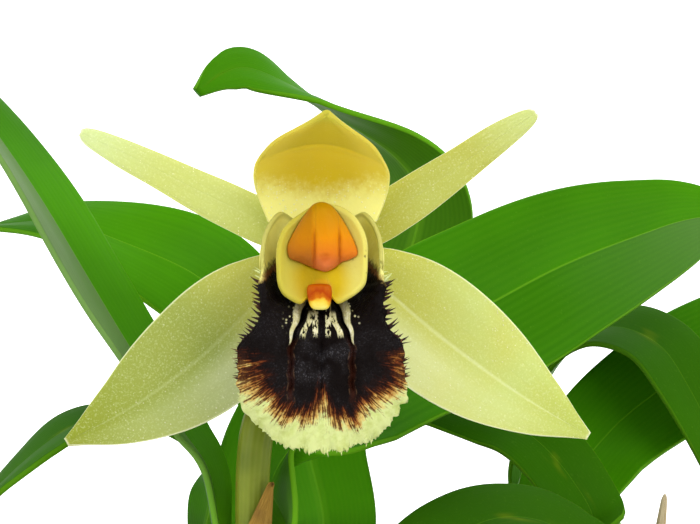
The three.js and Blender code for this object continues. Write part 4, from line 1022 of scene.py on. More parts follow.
def dry_paint(name, light, dark):
    """Dry papery tissue with lengthwise fibres and blotches."""
    paint = Paint(name, Specular_IOR_Level=0.3)
    u, v = paint.across_along()
    point = paint.object_point()
    fibres = paint.noise(paint.joint(u * 26, v * 2.5), 1.2, 4, 0.65)
    blotches = paint.noise(point, 380, 3)
    skin = paint.over(
        dark, (fibres.between(0.3, 0.7), light), (blotches.between(0.52, 0.72) * 0.5, srgb(92, 60, 28)))
    return paint.feed(
        Base_Color=skin, Roughness=0.72 + blotches * 0.15,
        Normal=paint.relief(fibres + paint.noise(point, 1500, 2) * 0.4, 0.12),
    )


def bulb_paint(settings):
    """Skin of a pseudobulb: green, yellowing down its ridges, with wrinkles and corky scars."""
    paint = living("pseudobulb_skin", 0.5, 0.06, (0.6, 1.0, 0.2), 2)
    u, v = paint.across_along()
    point = paint.object_point()
    clouds = paint.noise(point, 110, 4)
    wrinkles = paint.noise(paint.joint(u * 16, v * 3), 1.6, 4, 0.6)
    scars = paint.noise(point, 320, 3, 0.7).between(0.66, 0.72)
    skin = paint.over(
        settings.bulb, (clouds.between(0.3, 0.7), srgb(146, 168, 66)),
        (wrinkles.between(0.5, 0.75) * 0.45, srgb(84, 106, 30)),
        ((1 - v.between(0.05, 0.35)) * 0.4, srgb(156, 140, 70)), (scars * 0.7, srgb(120, 96, 56)))
    return paint.feed(
        Base_Color=skin, Roughness=0.36 + wrinkles * 0.2 + scars * 0.2,
        Normal=paint.relief(wrinkles * 1.2 + clouds * 0.3, 0.25),
    )


def root_paint():
    """Rhizome and roots: brown, ringed, with a silvery skin in patches."""
    paint = Paint("rhizome_skin", Specular_IOR_Level=0.3)
    _, v = paint.across_along()
    point = paint.object_point()
    patches = paint.noise(point, 180, 4, 0.6)
    rings = (v * 130 + patches * 5).wave()
    skin = paint.over(
        srgb(104, 78, 46), (patches.between(0.4, 0.65), srgb(158, 146, 116)), (rings * 0.3, srgb(66, 46, 28)))
    return paint.feed(
        Base_Color=skin, Roughness=0.7 + patches * 0.2, Normal=paint.relief(rings * 0.5 + patches, 0.2),
    )


def bark_paint(settings):
    """Chips of conifer bark: layered brown to grey-brown with paler broken edges."""
    paint = Paint("bark_chips", Specular_IOR_Level=0.25)
    point = paint.object_point()
    own = paint.attribute("tone")
    layers = paint.noise(point, 260, 5, 0.65)
    fine = paint.noise(point, 1100, 4, 0.6)
    skin = paint.over(
        srgb(58, 36, 24), (layers.between(0.3, 0.7), settings.bark), (own * 0.6, srgb(142, 104, 74)),
        (fine.between(0.6, 0.72) * 0.35, srgb(168, 140, 110)))
    return paint.feed(
        Base_Color=skin, Roughness=0.78 + fine * 0.18, Normal=paint.relief(layers + fine * 0.5, 0.6),
    )


def clay_paint(settings):
    """Fired clay: fine turning lines, grains and a pale bloom of salts low down and under the rim."""
    paint = Paint("clay_body", Specular_IOR_Level=0.3)
    point = paint.object_point()
    _, _, height = paint.split(point)
    clouds = paint.noise(point, 32, 5, 0.6)
    grain = paint.noise(point, 900, 3, 0.7)
    turning = ((height * 2600) + paint.noise(point, 60, 2) * 3).wave()
    bloom = paint.noise(point, 52, 5, 0.7).between(0.52, 0.7) * (1 - height.between(0.01, 0.06))
    band = paint.noise(point, 75, 4, 0.7).between(0.54, 0.7) * height.between(0.05, 0.07)
    body = paint.over(
        srgb(160, 84, 56), (clouds.between(0.3, 0.72), settings.clay),
        (grain.between(0.55, 0.7) * 0.3, srgb(206, 146, 112)), ((bloom * 0.55).most(band * 0.35), srgb(222, 200, 180)))
    return paint.feed(
        Base_Color=body, Roughness=0.8 + grain * 0.12, Normal=paint.relief(turning * 0.35 + grain * 0.6, 0.12),
    )


def studio_paint():
    """Pale floor that glows white far behind the plant."""
    paint = Paint("studio_floor", Roughness=0.9, Specular_IOR_Level=0.1, Emission_Strength=0.9)
    point = paint.object_point()
    x, y, z = paint.split(point)
    far = ((x * x + y * y) ** 0.5).between(1.1, 2.0)
    glow = (y.between(0.15, 0.4) * (1 - z.between(0.4, 1.6))).most(far * 0.6)
    return paint.feed(
        Base_Color=paint.mix(paint.noise(point, 3, 2), (0.9, 0.9, 0.9), (0.93, 0.93, 0.93)),
        Emission_Color=paint.mix(glow, (0, 0, 0), (1, 1, 1)),
    )


# ---------- operators: one for each piece or group of like pieces ----------


class PieceOperator(bpy.types.Operator):
    """Base of the operators that build the plant, its pot and its surroundings"""

    bl_options = {"REGISTER", "UNDO"}

    def execute(self, context):
        self.build(context.scene)
        return {"FINISHED"}


class ORCHID_OT_stage(PieceOperator):
    """Camera, soft lights, pale floor and backdrop"""

    bl_idname = "orchid.stage"
    bl_label = "Stage"

    FRAME_WIDTH = 700
    PIXEL = 0.0762  # millimetres in the flower's plane
    DISTANCE = 330  # from the camera to the flower's plane
    PITCH = math.radians(10)
    CENTRE_OFFSET = (28, -17)  # from the flower to the middle of the frame, in pixels
    SENSOR = 36
    CLIP = 0.01
    LIGHTS = {  # where each stands, its side and its colour
        "key": ((0.35, -0.5, 0.62), 0.4, (1.0, 0.99, 0.96)),
        "fill": ((-0.6, -0.4, 0.35), 0.5, (0.96, 0.98, 1.0)),
        "top": ((0.1, 0.25, 0.75), 0.6, (1, 1, 1)),
    }
    SWEEP = {"front": -3600.0, "back": 2600.0, "bend": 900.0, "top": 3600.0, "side": 3600.0}

    def build(self, scene):
        settings = scene.orchid_stage
        scene.view_settings.view_transform = "Standard"
        ahead = np.array([0, math.cos(self.PITCH), -math.sin(self.PITCH)])
        up = np.array([0, math.sin(self.PITCH), math.cos(self.PITCH)])
        right, rise = (self.PIXEL * offset for offset in self.CENTRE_OFFSET)
        aim = FLOWER_CENTRE + np.array([right, 0, 0]) + up * rise
        camera = fresh(
            "camera", bpy.ops.object.camera_add, (aim - ahead * self.DISTANCE) * MM,
            rotation=(math.pi / 2 - self.PITCH, 0, 0))
        camera.data.sensor_width = self.SENSOR
        camera.data.lens = self.SENSOR * self.DISTANCE / (self.FRAME_WIDTH * self.PIXEL)
        camera.data.clip_start = self.CLIP
        scene.camera = camera
        for name, (place, size, colour) in self.LIGHTS.items():
            turn = Vector(FLOWER_CENTRE * MM - place).to_track_quat("-Z", "Y").to_euler()
            light = fresh(name, bpy.ops.object.light_add, place, type="AREA", rotation=turn)
            light.data.size, light.data.energy, light.data.color = size, getattr(settings, name), colour
        world = scene.world or bpy.data.worlds.new("surroundings")
        scene.world = world
        world.use_nodes = True
        background = world.node_tree.nodes["Background"]
        background.inputs["Color"].default_value = (1, 1, 1, 1)
        background.inputs["Strength"].default_value = settings.sky
        sweep = grid_piece("studio_sweep", MESH["sweep"], self.sweep)
        only(sweep)
        bpy.ops.object.shade_smooth()
        sweep.data.materials.append(studio_paint())

    def sweep(self, u, v):
        """Floor that bends up into the backdrop."""
        front, back, radius, top, side = self.SWEEP.values()
        floor, turn = back - front, math.pi / 2 * radius
        run = v * (floor + turn + top - radius)
        angle = np.clip((run - floor) / radius, 0, math.pi / 2)
        y = front + np.minimum(run, floor) + radius * np.sin(angle)
        z = radius * (1 - np.cos(angle)) + np.maximum(run - floor - turn, 0)
        return np.stack([u * side, y, z], axis=-1)


class ORCHID_OT_pot(PieceOperator):
    """Plain clay pot with a banded rim and drain holes"""

    bl_idname = "orchid.pot"
    bl_label = "Pot"

    @staticmethod
    def inside(z):
        share = (z - POT["floor"]) / (POT["height"] - POT["band"] - POT["floor"])
        return POT["foot"] - POT["wall"] + 1 + share * (POT["band_foot"] - POT["foot"] - 1)

    def section(self):
        """The wall's section from the middle of the foot round the rim to the middle of the floor."""
        top, lip, foot, floor, band_foot = (POT[key] for key in ("height", "lip", "foot", "floor", "band_foot"))
        band, wide = top - POT["band"], band_foot + POT["step"]
        inner = self.inside(top)
        corner = [(math.sin(a), math.cos(a)) for a in np.linspace(0, math.pi / 2, 5)]
        outer_lip = [(POT["rim"] - lip + lip * s, top - lip + lip * c) for s, c in reversed(corner)]
        inner_lip = [(inner + lip - lip * s, top - lip + lip * c) for s, c in corner]
        return [
            (0, 0), (20, 0), (foot - 1.2, 0), (foot - 0.35, 0.3), (foot, 1.2), (foot + 4, 25.5), (band_foot - 4, 46.5),
            (band_foot - 0.5, band - 0.6), (band_foot + 0.1, band), (wide - 0.8, band), (wide - 0.15, band + 0.25),
            (wide, band + 0.9), *outer_lip, *inner_lip, *((self.inside(z), z) for z in (78, 45, 9)),
            (self.inside(floor) - 2.5, floor), (15, floor), (0, floor),
        ]

    def build(self, scene):
        settings = scene.orchid_pot
        section = np.array(self.section(), float)
        steps = np.linalg.norm(np.diff(section, axis=0), axis=1)
        at = np.concatenate([[0], np.cumsum(steps)]) / steps.sum()
        rows = np.unique(np.concatenate([at, np.linspace(0, 1, 60)]))

        def place(angle, v):
            share = rows[np.round(v * (len(rows) - 1)).astype(int)]
            radius, height = np.interp(share, at, section[:, 0]), np.interp(share, at, section[:, 1])
            return turned(angle) * radius[:, None] + UP * height[:, None]

        pot = tube_piece("pot_body", (settings.sides, len(rows) - 1), place)
        for k in range(POT["drains"]):
            angle = 2 * math.pi * (k + 0.5) / POT["drains"]
            drill = fresh(
                "drill", bpy.ops.mesh.primitive_cylinder_add, turned(angle) * POT["drain_circle"] * MM,
                vertices=40, radius=POT["drain"] * MM, depth=4 * POT["floor"] * MM)
            apply(pot, "BOOLEAN", operation="DIFFERENCE", object=drill, solver="EXACT")
            bpy.data.objects.remove(drill)
        seat(pot, "clay", "pot", finish=clay_paint(settings), sharp=35)


class ORCHID_OT_bark(PieceOperator):
    """Bark that fills the pot, with loose chips on top"""

    bl_idname = "orchid.bark"
    bl_label = "Bark"

    def chip(self, name, draw):
        """A flat broken chip about 10 mm long, round the origin."""
        chip = fresh(name, bpy.ops.mesh.primitive_cube_add, size=1)
        in_edit_mode(chip, (bpy.ops.mesh.subdivide, {"number_cuts": 2}))
        points = corners(chip.data)
        length, width, height = draw.uniform(8, 14), draw.uniform(5, 8.5), draw.uniform(1.6, 3.4)
        points *= np.array([length, width, height])
        inward = 1 - 0.16 * (np.abs(points[:, 2:]) / height * 2)
        points[:, :2] *= inward
        points += np.array([[draw.uniform(-0.11, 0.11) * s for s in (length, width, height * 1.6)] for _ in points])
        shaped(chip, points)
        apply(chip, "BEVEL", width=0.35 * MM, segments=1, limit_method="ANGLE", angle_limit=math.radians(40))
        return chip

    def build(self, scene):
        draw = random.Random(BARK["seed"])
        inside = ORCHID_OT_pot.inside
        foot, top, gap = (BARK[key] for key in ("foot", "top", "gap"))

        def block(angle, v):
            rows = np.array([(0, foot), (inside(foot) - gap, foot), (inside(top) - gap, top), (0, top)])
            radius, height = (np.interp(v * 3, range(4), rows[:, k]) for k in range(2))
            rough = 0.9 * np.sin(7 * angle + radius * 0.6) * np.sin(radius * 0.9 + 2 * angle) * (height > top - 1)
            height = height + rough * (radius > 0.1)
            return turned(angle) * radius[:, None] + UP * height[:, None]

        bed = tube_piece("bark_bed", MESH["bark"], block)
        kinds = [self.chip(f"chip_{k}", draw) for k in range(BARK["kinds"])]
        pieces = []
        for k in range(BARK["chips"]):
            share = (k + 0.5) / BARK["chips"]
            reach = (inside(top) - 6.5) * math.sqrt(share)
            angle = GOLDEN_ANGLE * k
            chip = kinds[k % len(kinds)].copy()
            chip.data = chip.data.copy()
            scene.collection.objects.link(chip)
            tilt = Matrix.Rotation(draw.uniform(0, 2 * math.pi), 4, "Z")
            tilt @= Matrix.Rotation(draw.gauss(0, 0.25), 4, "X") @ Matrix.Rotation(draw.gauss(0, 0.2), 4, "Y")
            size = draw.uniform(0.7, 1.1)
            height = top + draw.uniform(-0.6, 2.6) + 1.2 * (1 - share)
            place = Matrix.Translation(Vector((reach * math.cos(angle), reach * math.sin(angle), height)) * MM)
            chip.data.transform(place @ tilt @ Matrix.Scale(size, 4))
            mark(chip, "tone", draw.random() ** 2)
            pieces.append(chip)
        for kind in kinds:
            bpy.data.objects.remove(kind)
        seat(merged([bed, *pieces], "bark_fill"), "bark", "bark", finish=bark_paint(scene.orchid_pot), sharp=28)


class ORCHID_OT_rhizome(PieceOperator):
    """Creeping rhizome with its roots"""

    bl_idname = "orchid.rhizome"
    bl_label = "Rhizome and roots"

    ROOTS = [
        [(-3.5, -23.5, 80.5), (-10, -28, 80.6), (-18, -29, 78.6), (-25, -26, 76)],
        [(-3.5, -23.5, 80.5), (5, -29, 80.8), (13, -32, 79), (20, -30, 76)],
        [(19, -8, 80.5), (26, -11, 80.8), (31, -16, 79), (32, -20, 76)],
        [(18, 10, 80.5), (26, 12, 80.8), (32, 8, 79), (36, 3, 76)],
        [(-9, -8, 80.5), (-19, -9, 80.8), (-27, -7, 79), (-34, -9, 76)],
        [(-12.5, 11, 80.5), (-22, 10, 80.8), (-28, 14, 79), (-30, 20, 76)],
        [(1.5, 20.5, 80.5), (5, 27, 80.8), (2, 32, 79), (4, 36, 76)],
    ]

    def runners(self):
        z = RHIZOME_HEIGHT
        foot = {name: (*growth[1], z) for name, growth in GROWTHS.items()}
        return [
            [foot["a"], (-7, -16, z), foot["b"], (-4, -1, z), foot["c"]],
            [foot["h"], (22, -14, z), foot["d"], (12, -3, z), foot["c"]],
            [foot["e"], (11, 5.5, z), foot["c"]],
            [foot["c"], (3.5, 12, z), foot["g"]],
            [foot["f"], (-5, 13, z), (3.5, 12, z)],
        ]

    def build(self, scene):
        def thick(v, angle):
            return RHIZOME_RADIUS * (1 + 0.05 * np.sin(70 * v) + 0.04 * np.sin(3 * angle + 9 * v))

        def thin(v, angle):
            return ROOT_RADIUS * (1 - 0.25 * v) * (1 + 0.05 * np.sin(31 * v + angle))

        pieces = []
        for kind, paths, size in (("runner", self.runners(), thick), ("root", self.ROOTS, thin)):
            pieces += [tube_piece(f"{kind}_{k}", MESH[kind], stem(path, size)) for k, path in enumerate(paths)]
        seat(merged(pieces, "rhizome_roots"), "rhizome", "rhizome", finish=root_paint())


class ORCHID_OT_pseudobulbs(PieceOperator):
    """Ridged pseudobulbs, with dry sheaths round their feet"""

    bl_idname = "orchid.pseudobulbs"
    bl_label = "Pseudobulbs"

    SWELL = [(0.14, 0.82), (0.36, 1), (0.62, 0.83), (0.86, 0.55)]  # height and share of the radius

    def surface(self, growth, seed, proud=0.0):
        apex, foot, radius, _ = growth
        low = np.array([*foot, RHIZOME_HEIGHT + RHIZOME_RADIUS * 1.1 + SEAT_GAP])
        shape = [(0, 3.2), *((t, share * radius) for t, share in self.SWELL), (1, 2.9)]

        def place(angle, v):
            t = np.clip((v - 0.06) / 0.88, 0, 1)
            ends = np.sqrt(np.clip(np.minimum(v, 1 - v) / 0.06, 0, 1))
            ribs = 0.055 * np.sin(math.pi * t) * np.cos(5 * angle + 0.5 * np.sin(4 * t + seed))
            wrinkle = 0.012 * np.sin(math.pi * t) * np.sin(17 * angle + 5 * np.sin(3 * t + seed))
            size = (outline(shape, t) * (1 + ribs + wrinkle) + proud) * ends
            middle = low + (np.array(apex) - low) * t[:, None]
            return middle + turned(angle) * size[:, None]

        return place

    def sheath(self, name, growth, seed, start, height):
        """A torn dry sheath that clasps the foot of a pseudobulb."""
        bulb = self.surface(growth, seed, 0.4)

        def place(u, v):
            torn = 1 + 0.16 * np.sin(9 * u + seed) + 0.1 * np.sin(23 * u + 2 * seed)
            t = 0.075 + v * height * torn * (1 - 0.35 * u * u)
            flare = 0.45 * v * v * (1 + 0.6 * np.sin(7 * u + seed))
            angle = start + 2.2 * u
            points = bulb(angle, t)
            return points + turned(angle) * flare[:, None]

        return sheet_piece(name, MESH["bulb_sheath"], place, THICKNESS["bulb_sheath"], thin_edge=1.0)

    def build(self, scene):
        skin = bulb_paint(scene.orchid_leaf)
        dry = dry_paint("dry_sheath", srgb(196, 160, 104), srgb(142, 102, 58))
        for k, (name, growth) in enumerate(GROWTHS.items()):
            bulb = tube_piece(f"pseudobulb_body_{name}", MESH["bulb"], self.surface(growth, 1.7 * k))
            seat(bulb, "pseudobulb", f"pseudobulb_{name}", finish=skin)
            pieces = [
                self.sheath(f"sheath_{name}_{n}", growth, 1.7 * k + n, 2.1 * n + k, 0.24 - 0.07 * n) for n in range(2)]
            sheath = merged(pieces, f"bulb_sheath_{name}")
            seat(sheath, "dry_bract", finish=dry)


class ORCHID_OT_leaves(PieceOperator):
    """Leaves, glossy above and duller below"""

    bl_idname = "orchid.leaves"
    bl_label = "Leaves"

    def build(self, scene):
        settings = scene.orchid_leaf
        upper, under = leaf_face(settings), leaf_under(settings)
        for name, (apex, _, _, leaves) in GROWTHS.items():
            for k, (away, spine, facing, half_width, fold, curl) in enumerate(leaves):
                lean = unit(np.array([*away, 0.0]))
                root = np.array(apex) + lean * PETIOLE_OFFSET + UP * APEX_GAP
                path = [root, root + lean * 0.9 + UP * 5, *spine]
                key = f"{name}{k + 1}"
                shape = {"profile": LEAF_PROFILE, "base_fold": 0.5, "base_share": 0.3, **OWN_SHAPE.get(key, {})}
                surface = blade(
                    path, facing, half_width, fold=fold, curl=curl, ruffle=0.12, waves=2.6 + 0.7 * k, crease=0.0012,
                    **shape)
                leaf = sheet_piece(
                    f"leaf_blade_{key}", MESH["leaf"], surface, settings.thickness / MM, finishes=(upper, under))
                mark(leaf, "age", AGED_AND_SHADED_LEAVES.get(key, 0))
                mark(leaf, "sheen", SHEEN.get(key, 0))
                seat(leaf, "leaf", f"leaf_{key}")


class ORCHID_OT_stems(PieceOperator):
    """Flower stem, ovary, their bracts and last season's dry stem"""

    bl_idname = "orchid.stems"
    bl_label = "Stems and bracts"

    def bract(self, name, path, turn, half_angle, clear, flare, lean=0.0):
        curve = Spline(path)

        def place(u, v):
            torn = v * (1 + 0.04 * np.sin(11 * u) * v)
            angle = turn + lean * v + u * half_angle * (1 - 0.9 * v)
            radius = clear + flare * v * v
            return curve.along(np.minimum(torn, 1)) + turned(angle) * radius[:, None]

        return sheet_piece(name, MESH["bract"], place, THICKNESS["bract"], thin_edge=0.6)

    def build(self, scene):
        x, y, z = GROWTHS["a"][0]
        green = stem_paint()
        path = [
            (x, y, z + APEX_GAP), (x - 0.1, y + 0.1, z + 6), (x + 0.3, y + 0.6, z + 13),
            *in_flower([(-3.6, 8.0, -10.5), (-2.6, 8.6, -6.6)])]

        def stalk_size(v, angle):
            return (1.15 + 0.1 * v + 0.12 * np.sin(math.pi * v)) * (1 + 0.02 * np.sin(9 * angle + 3 * v))

        stalk = tube_piece("flower_stalk", MESH["stalk"], stem(path, stalk_size))
        seat(stalk, "stem", "flower_stem", finish=green)

        curve = [(-2.45, 8.6, -5.9), (-1.6, 8.2, -3.4), (-0.5, 7.0, -1.4), (0, 5.2, -0.4), (0, 3.45, -0.2)]
        swell = [(0, 0.95), (0.3, 1.3), (0.6, 1.15), (0.85, 0.95), (1, 0.85)]

        def ovary_size(v, angle):
            return outline(swell, v) * (1 + 0.08 * np.cos(3 * angle + 0.8 * v))

        ovary = tube_piece("ovary_body", MESH["ovary"], stem(in_flower(curve), ovary_size))
        seat(ovary, "stem", "ovary", finish=green)

        dry = dry_paint("dry_bract", srgb(178, 144, 60), srgb(150, 108, 30))
        path = [(x, y, z + 3.2), (x, y + 0.1, z + 6), (x + 0.4, y + 0.4, z + 9.6)]
        sheath = self.bract("stem_sheath_sheet", path, -1.5, 0.85, 1.95, 0.2, lean=0.45)
        seat(sheath, "dry_bract", "stem_sheath", finish=dry)
        path = in_flower([(-3.55, 8.0, -9.6), (-2.6, 8.5, -6.4), (-2.1, 8.7, -2.4)])
        bract = self.bract("floral_bract_sheet", path, 1.9, 1.6, 2.5, 1.3)
        seat(bract, "dry_bract", "floral_bract", finish=dry)

        x, y, z = GROWTHS["d"][0]
        path = [
            (x - 0.15, y + 0.4, z + APEX_GAP), (x + 0.1, y + 0.4, z + 1.4), (x + 2.4, y - 0.1, z + 3),
            (x + 5.6, y - 2.3, z + 4.8), (x + 7, y - 4.7, z + 9), (x + 7.6, y - 4.9, z + 13.4)]

        def spent_size(v, angle):
            return (0.7 - 0.5 * v**3) * (1 + 0.1 * np.sin(5 * angle + 6 * v))

        spent = tube_piece("spent_stalk", MESH["spent"], stem(path, spent_size))
        seat(spent, "dry_stem", "spent_stem", finish=dry_paint("dry_stalk", srgb(226, 214, 178), srgb(178, 152, 104)))


class ORCHID_OT_tepals(PieceOperator):
    """Lateral sepals, petals and the hooded dorsal sepal"""

    bl_idname = "orchid.tepals"
    bl_label = "Sepals and petals"

    OPENING = {"base_fold": -0.19, "base_share": 0.4}  # the dorsal sepal's edges turn back at its root
    CREASE = (0.35, 0.52, 0.03)  # and it has a crease: its depth, where along it lies and its half width

    def build(self, scene):
        settings = scene.orchid_flower
        paints = {
            "petal_left": tepal_paint("petal_tissue", settings.petal, srgb(200, 216, 156), srgb(188, 194, 96), 0.06),
            "petal_right": tepal_paint(
                "petal_tissue_gold", srgb(182, 188, 98), srgb(194, 206, 134), srgb(170, 166, 56), 0.06),
            "lateral_sepal_left": tepal_paint(
                "sepal_tissue_shade", settings.sepal_shade, srgb(134, 144, 22), srgb(154, 162, 72), 0.1, -1,
                srgb(206, 204, 96)),
            "lateral_sepal_right": tepal_paint(
                "sepal_tissue", settings.sepal, srgb(170, 182, 80), srgb(196, 194, 84), 0.3, 1,
                srgb(194, 190, 72)),
            "dorsal_sepal": hood_paint(settings),
        }
        for name, (spine, facing, half_width, profile, fold, curl) in TEPALS.items():
            hooded = name == "dorsal_sepal"
            opening = self.OPENING if hooded else {}
            flat = blade(spine, facing, half_width, profile, fold, curl, ruffle=0.05, waves=3.0, **opening)

            def place(u, v, flat=flat, hooded=hooded):
                points = flat(u, v)
                if hooded:
                    depth, middle, width = self.CREASE
                    points[:, 1] -= depth * bump(v, middle, width) * (1 - u * u)
                return in_flower(points)

            tepal = sheet_piece(f"{name}_sheet", MESH["tepal"], place, settings.tepal / MM, thin_edge=0.35)
            seat(tepal, "hood" if hooded else "tepal", name, finish=paints[name])


class ORCHID_OT_lip(PieceOperator):
    """The lip, with wavy keels, a frilled margin and a fringe of hairs"""

    bl_idname = "orchid.lip"
    bl_label = "Lip"

    SEED = 5
    # Hairs of the margin: the shortest, the longest, their girth, how pale their root is, and on the sides where they
    # start and how far they go on.
    HAIRS = {
        "spine": (0.4, 0.8, 0.16, 0.0, 0.44, 0.19),
        "hair": (0.25, 0.55, 0.08, 0.1, 0.41, 0.37),
        "tooth": (0.14, 0.34, 0.1, 0.1, 0.62, 0.36),
    }
    SUNK = 0.25  # how deep a hair's root stands in the lip
    RINGS = (0, 0.4, 0.75, 1)  # shares of a hair's length at which it has a ring of corners
    CORNERS = 4  # in a ring

    @staticmethod
    def surface():
        """The lip's middle surface: u from -1 to 1, v from 0 to 1, in the flower's own frame."""
        rows = []
        for row in LIP_ROWS:
            left = [(-x, y, z) for x, y, z in reversed(row[1:])]
            rows.append(Spline([*left, *row]))

        def place(u, v):
            columns, back = np.unique(u, return_inverse=True)
            points = np.empty((len(u), 3))
            rails = np.stack([row.at((columns + 1) / 2) for row in rows], axis=1)
            for k, rail in enumerate(rails):
                members = back == k
                points[members] = Spline(rail).at(v[members])
            return points

        return place

    @staticmethod
    def relief(x, drop):
        """How far the surface rises: keels, rays towards the margin and the margin's frill."""
        start, end, first, last = KEEL_RUN
        line = first + (last - first) * np.clip((drop - start) / (end - start), 0, 1)
        along = smoothstep(drop, 3.3, 4.2) * (1 - smoothstep(drop, 10.2, 11.8))
        line = line + 0.06 * np.sin(4.1 * drop)
        wavy = 1 + 0.25 * np.sin(3.7 * drop) + 0.15 * np.sin(9.3 * drop + 1)
        keel = 0.75 * along * wavy * np.maximum(bump(np.abs(x), line, 0.27), 0.4 * bump(x, 0, 0.2))
        down = drop - LIP_MIDDLE
        reach, angle = np.hypot(x, down), np.arctan2(x, down)
        rays = 0.05 * np.sin(46 * angle + 3 * np.sin(2 * reach)) * smoothstep(reach, 3, 6) * smoothstep(drop, 1, 3)
        frill = 0.13 * np.sin(17 * angle + 2 * np.sin(5 * angle)) * smoothstep(reach, 5.4, 7.4) * smoothstep(down, 0, 3)
        return keel + rays + frill

    def ruffled(self):
        flat = self.surface()

        def place(u, v):
            step = 1e-3
            points = flat(u, v)
            across = flat(np.minimum(u + step, 1), v) - flat(np.maximum(u - step, -1), v)
            along = flat(u, np.minimum(v + step, 1)) - flat(u, np.maximum(v - step, 0))
            normal = unit(np.cross(across, along))
            reach = (np.abs(u) ** 6 + np.clip((v - 0.42) / 0.58, 0, 1) ** 6) ** (1 / 6)
            angle = np.arctan2(u, v - 0.38)
            teeth = (1 - np.abs(np.sin(52 * angle + 2 * np.sin(7 * angle)))) ** 1.5 * (0.6 + 0.4 * np.sin(19 * angle))
            jag = 0.5 * (0.3 + 0.7 * smoothstep(angle, -1.4, 0.1)) * (teeth - 0.25) + 0.07 * np.sin(23 * angle)
            outward = unit(points - flat(0 * u, 0 * v + 0.6))
            edge = smoothstep(reach, 0.93, 1) * smoothstep(v, 0.35, 0.5)
            drop = -points[:, 2]
            rise = self.relief(points[:, 0], drop)
            waist = 0.45 * bump(drop, 7.8, 0.8) - 0.5 * bump(drop, 5.2, 1.3)
            spread = waist * np.sign(u) * smoothstep(np.abs(u), 0.5, 1)
            moved = points + normal * rise[:, None] + outward * (jag * edge)[:, None]
            return moved + spread[:, None] * [1, 0, 0]

        return place

    def fringe(self, place, count):
        """Dark spines and hairs on the upper sides of the margin, small teeth below them and round the apex."""
        draw = random.Random(self.SEED)
        points, tones, roots = [], [], []
        for kind, number in (("spine", count // 2), ("hair", count), ("tooth", count * 2 // 3)):
            start, span = self.HAIRS[kind][4:]
            for side in (-1, 1):
                for k in range(number):
                    share = draw.random() if kind == "hair" else (k + draw.random()) / number
                    roots.append((side, start + span * share, kind))
        roots += [(-1 + (k + draw.random()) / count, 1.0, "tooth") for k in range(2 * count)]
        u, v = (np.array([root[i] for root in roots], float) for i in range(2))
        margin = place(u, v)
        inside = np.where((v < 1)[:, None], place(u * 0.93, v), place(u, v * 0.97))
        outward = unit(margin - inside)
        for k, (_, _, kind) in enumerate(roots):
            shortest, longest, girth, pale = self.HAIRS[kind][:4]
            length = draw.uniform(shortest, longest)
            tooth = kind == "tooth"
            light = smoothstep(v[k], 0.7, 0.84) if tooth else 0.2 * draw.random()
            pale = min(pale + light + 1 - smoothstep(v[k], 0.43, 0.455), 1)
            tip = draw.uniform(0.1, 0.8) * (1 if tooth else 0.5)
            aside = np.sign(u[k]) * np.array([0.2 if tooth else 0.9, 0, 0])
            way = outward[k] * [1, 0.3, 1 if tooth else 0.35] + aside
            way = unit(way + [draw.gauss(0, 0.13), draw.gauss(-0.1, 0.12), draw.gauss(0.05, 0.16)])
            bend = np.array([draw.gauss(0, 0.12), draw.gauss(-0.05, 0.1), draw.gauss(0.12, 0.14)])
            start = margin[k] - outward[k] * self.SUNK
            side = unit(np.cross(way, [0.2, 1, 0.1]))
            other = np.cross(way, side)
            for share in self.RINGS:
                middle = start + way * (length + self.SUNK) * share + bend * length * share**2
                for turn in range(self.CORNERS):
                    a = 2 * math.pi * turn / self.CORNERS
                    ring = (side * math.cos(a) + 0.6 * other * math.sin(a)) * girth * (1 - 0.92 * share)
                    points.append(middle + ring)
                    tones.append(min(pale + tip * share, 1))
        hair = fresh("lip_fringe", bpy.ops.mesh.primitive_cylinder_add, vertices=self.CORNERS, radius=1, depth=2)
        faces = []
        each = len(self.RINGS) * self.CORNERS
        for base in range(0, len(points), each):
            for low in range(base, base + each - self.CORNERS, self.CORNERS):
                for turn in range(self.CORNERS):
                    a, b = low + turn, low + (turn + 1) % self.CORNERS
                    faces.append((a, b, b + self.CORNERS, a + self.CORNERS))
            faces.append(tuple(reversed(range(base, base + self.CORNERS))))
            faces.append(tuple(range(base + each - self.CORNERS, base + each)))
        hair.data.clear_geometry()
        hair.data.from_pydata([Vector(p) * MM for p in in_flower(points)], [], faces)
        mark(hair, "tone", tones)
        in_edit_mode(hair, (bpy.ops.mesh.normals_make_consistent, {"inside": False}))
        return hair

    def build(self, scene):
        settings = scene.orchid_flower
        place = self.ruffled()
        lip = sheet_piece("lip_sheet", MESH["lip"], lambda u, v: in_flower(place(u, v)), THICKNESS["lip"])
        seat(lip, "lip", "lip", finish=lip_paint(settings))
        fringe = self.fringe(place, settings.fringe)
        seat(fringe, "lip", finish=fringe_paint(settings))


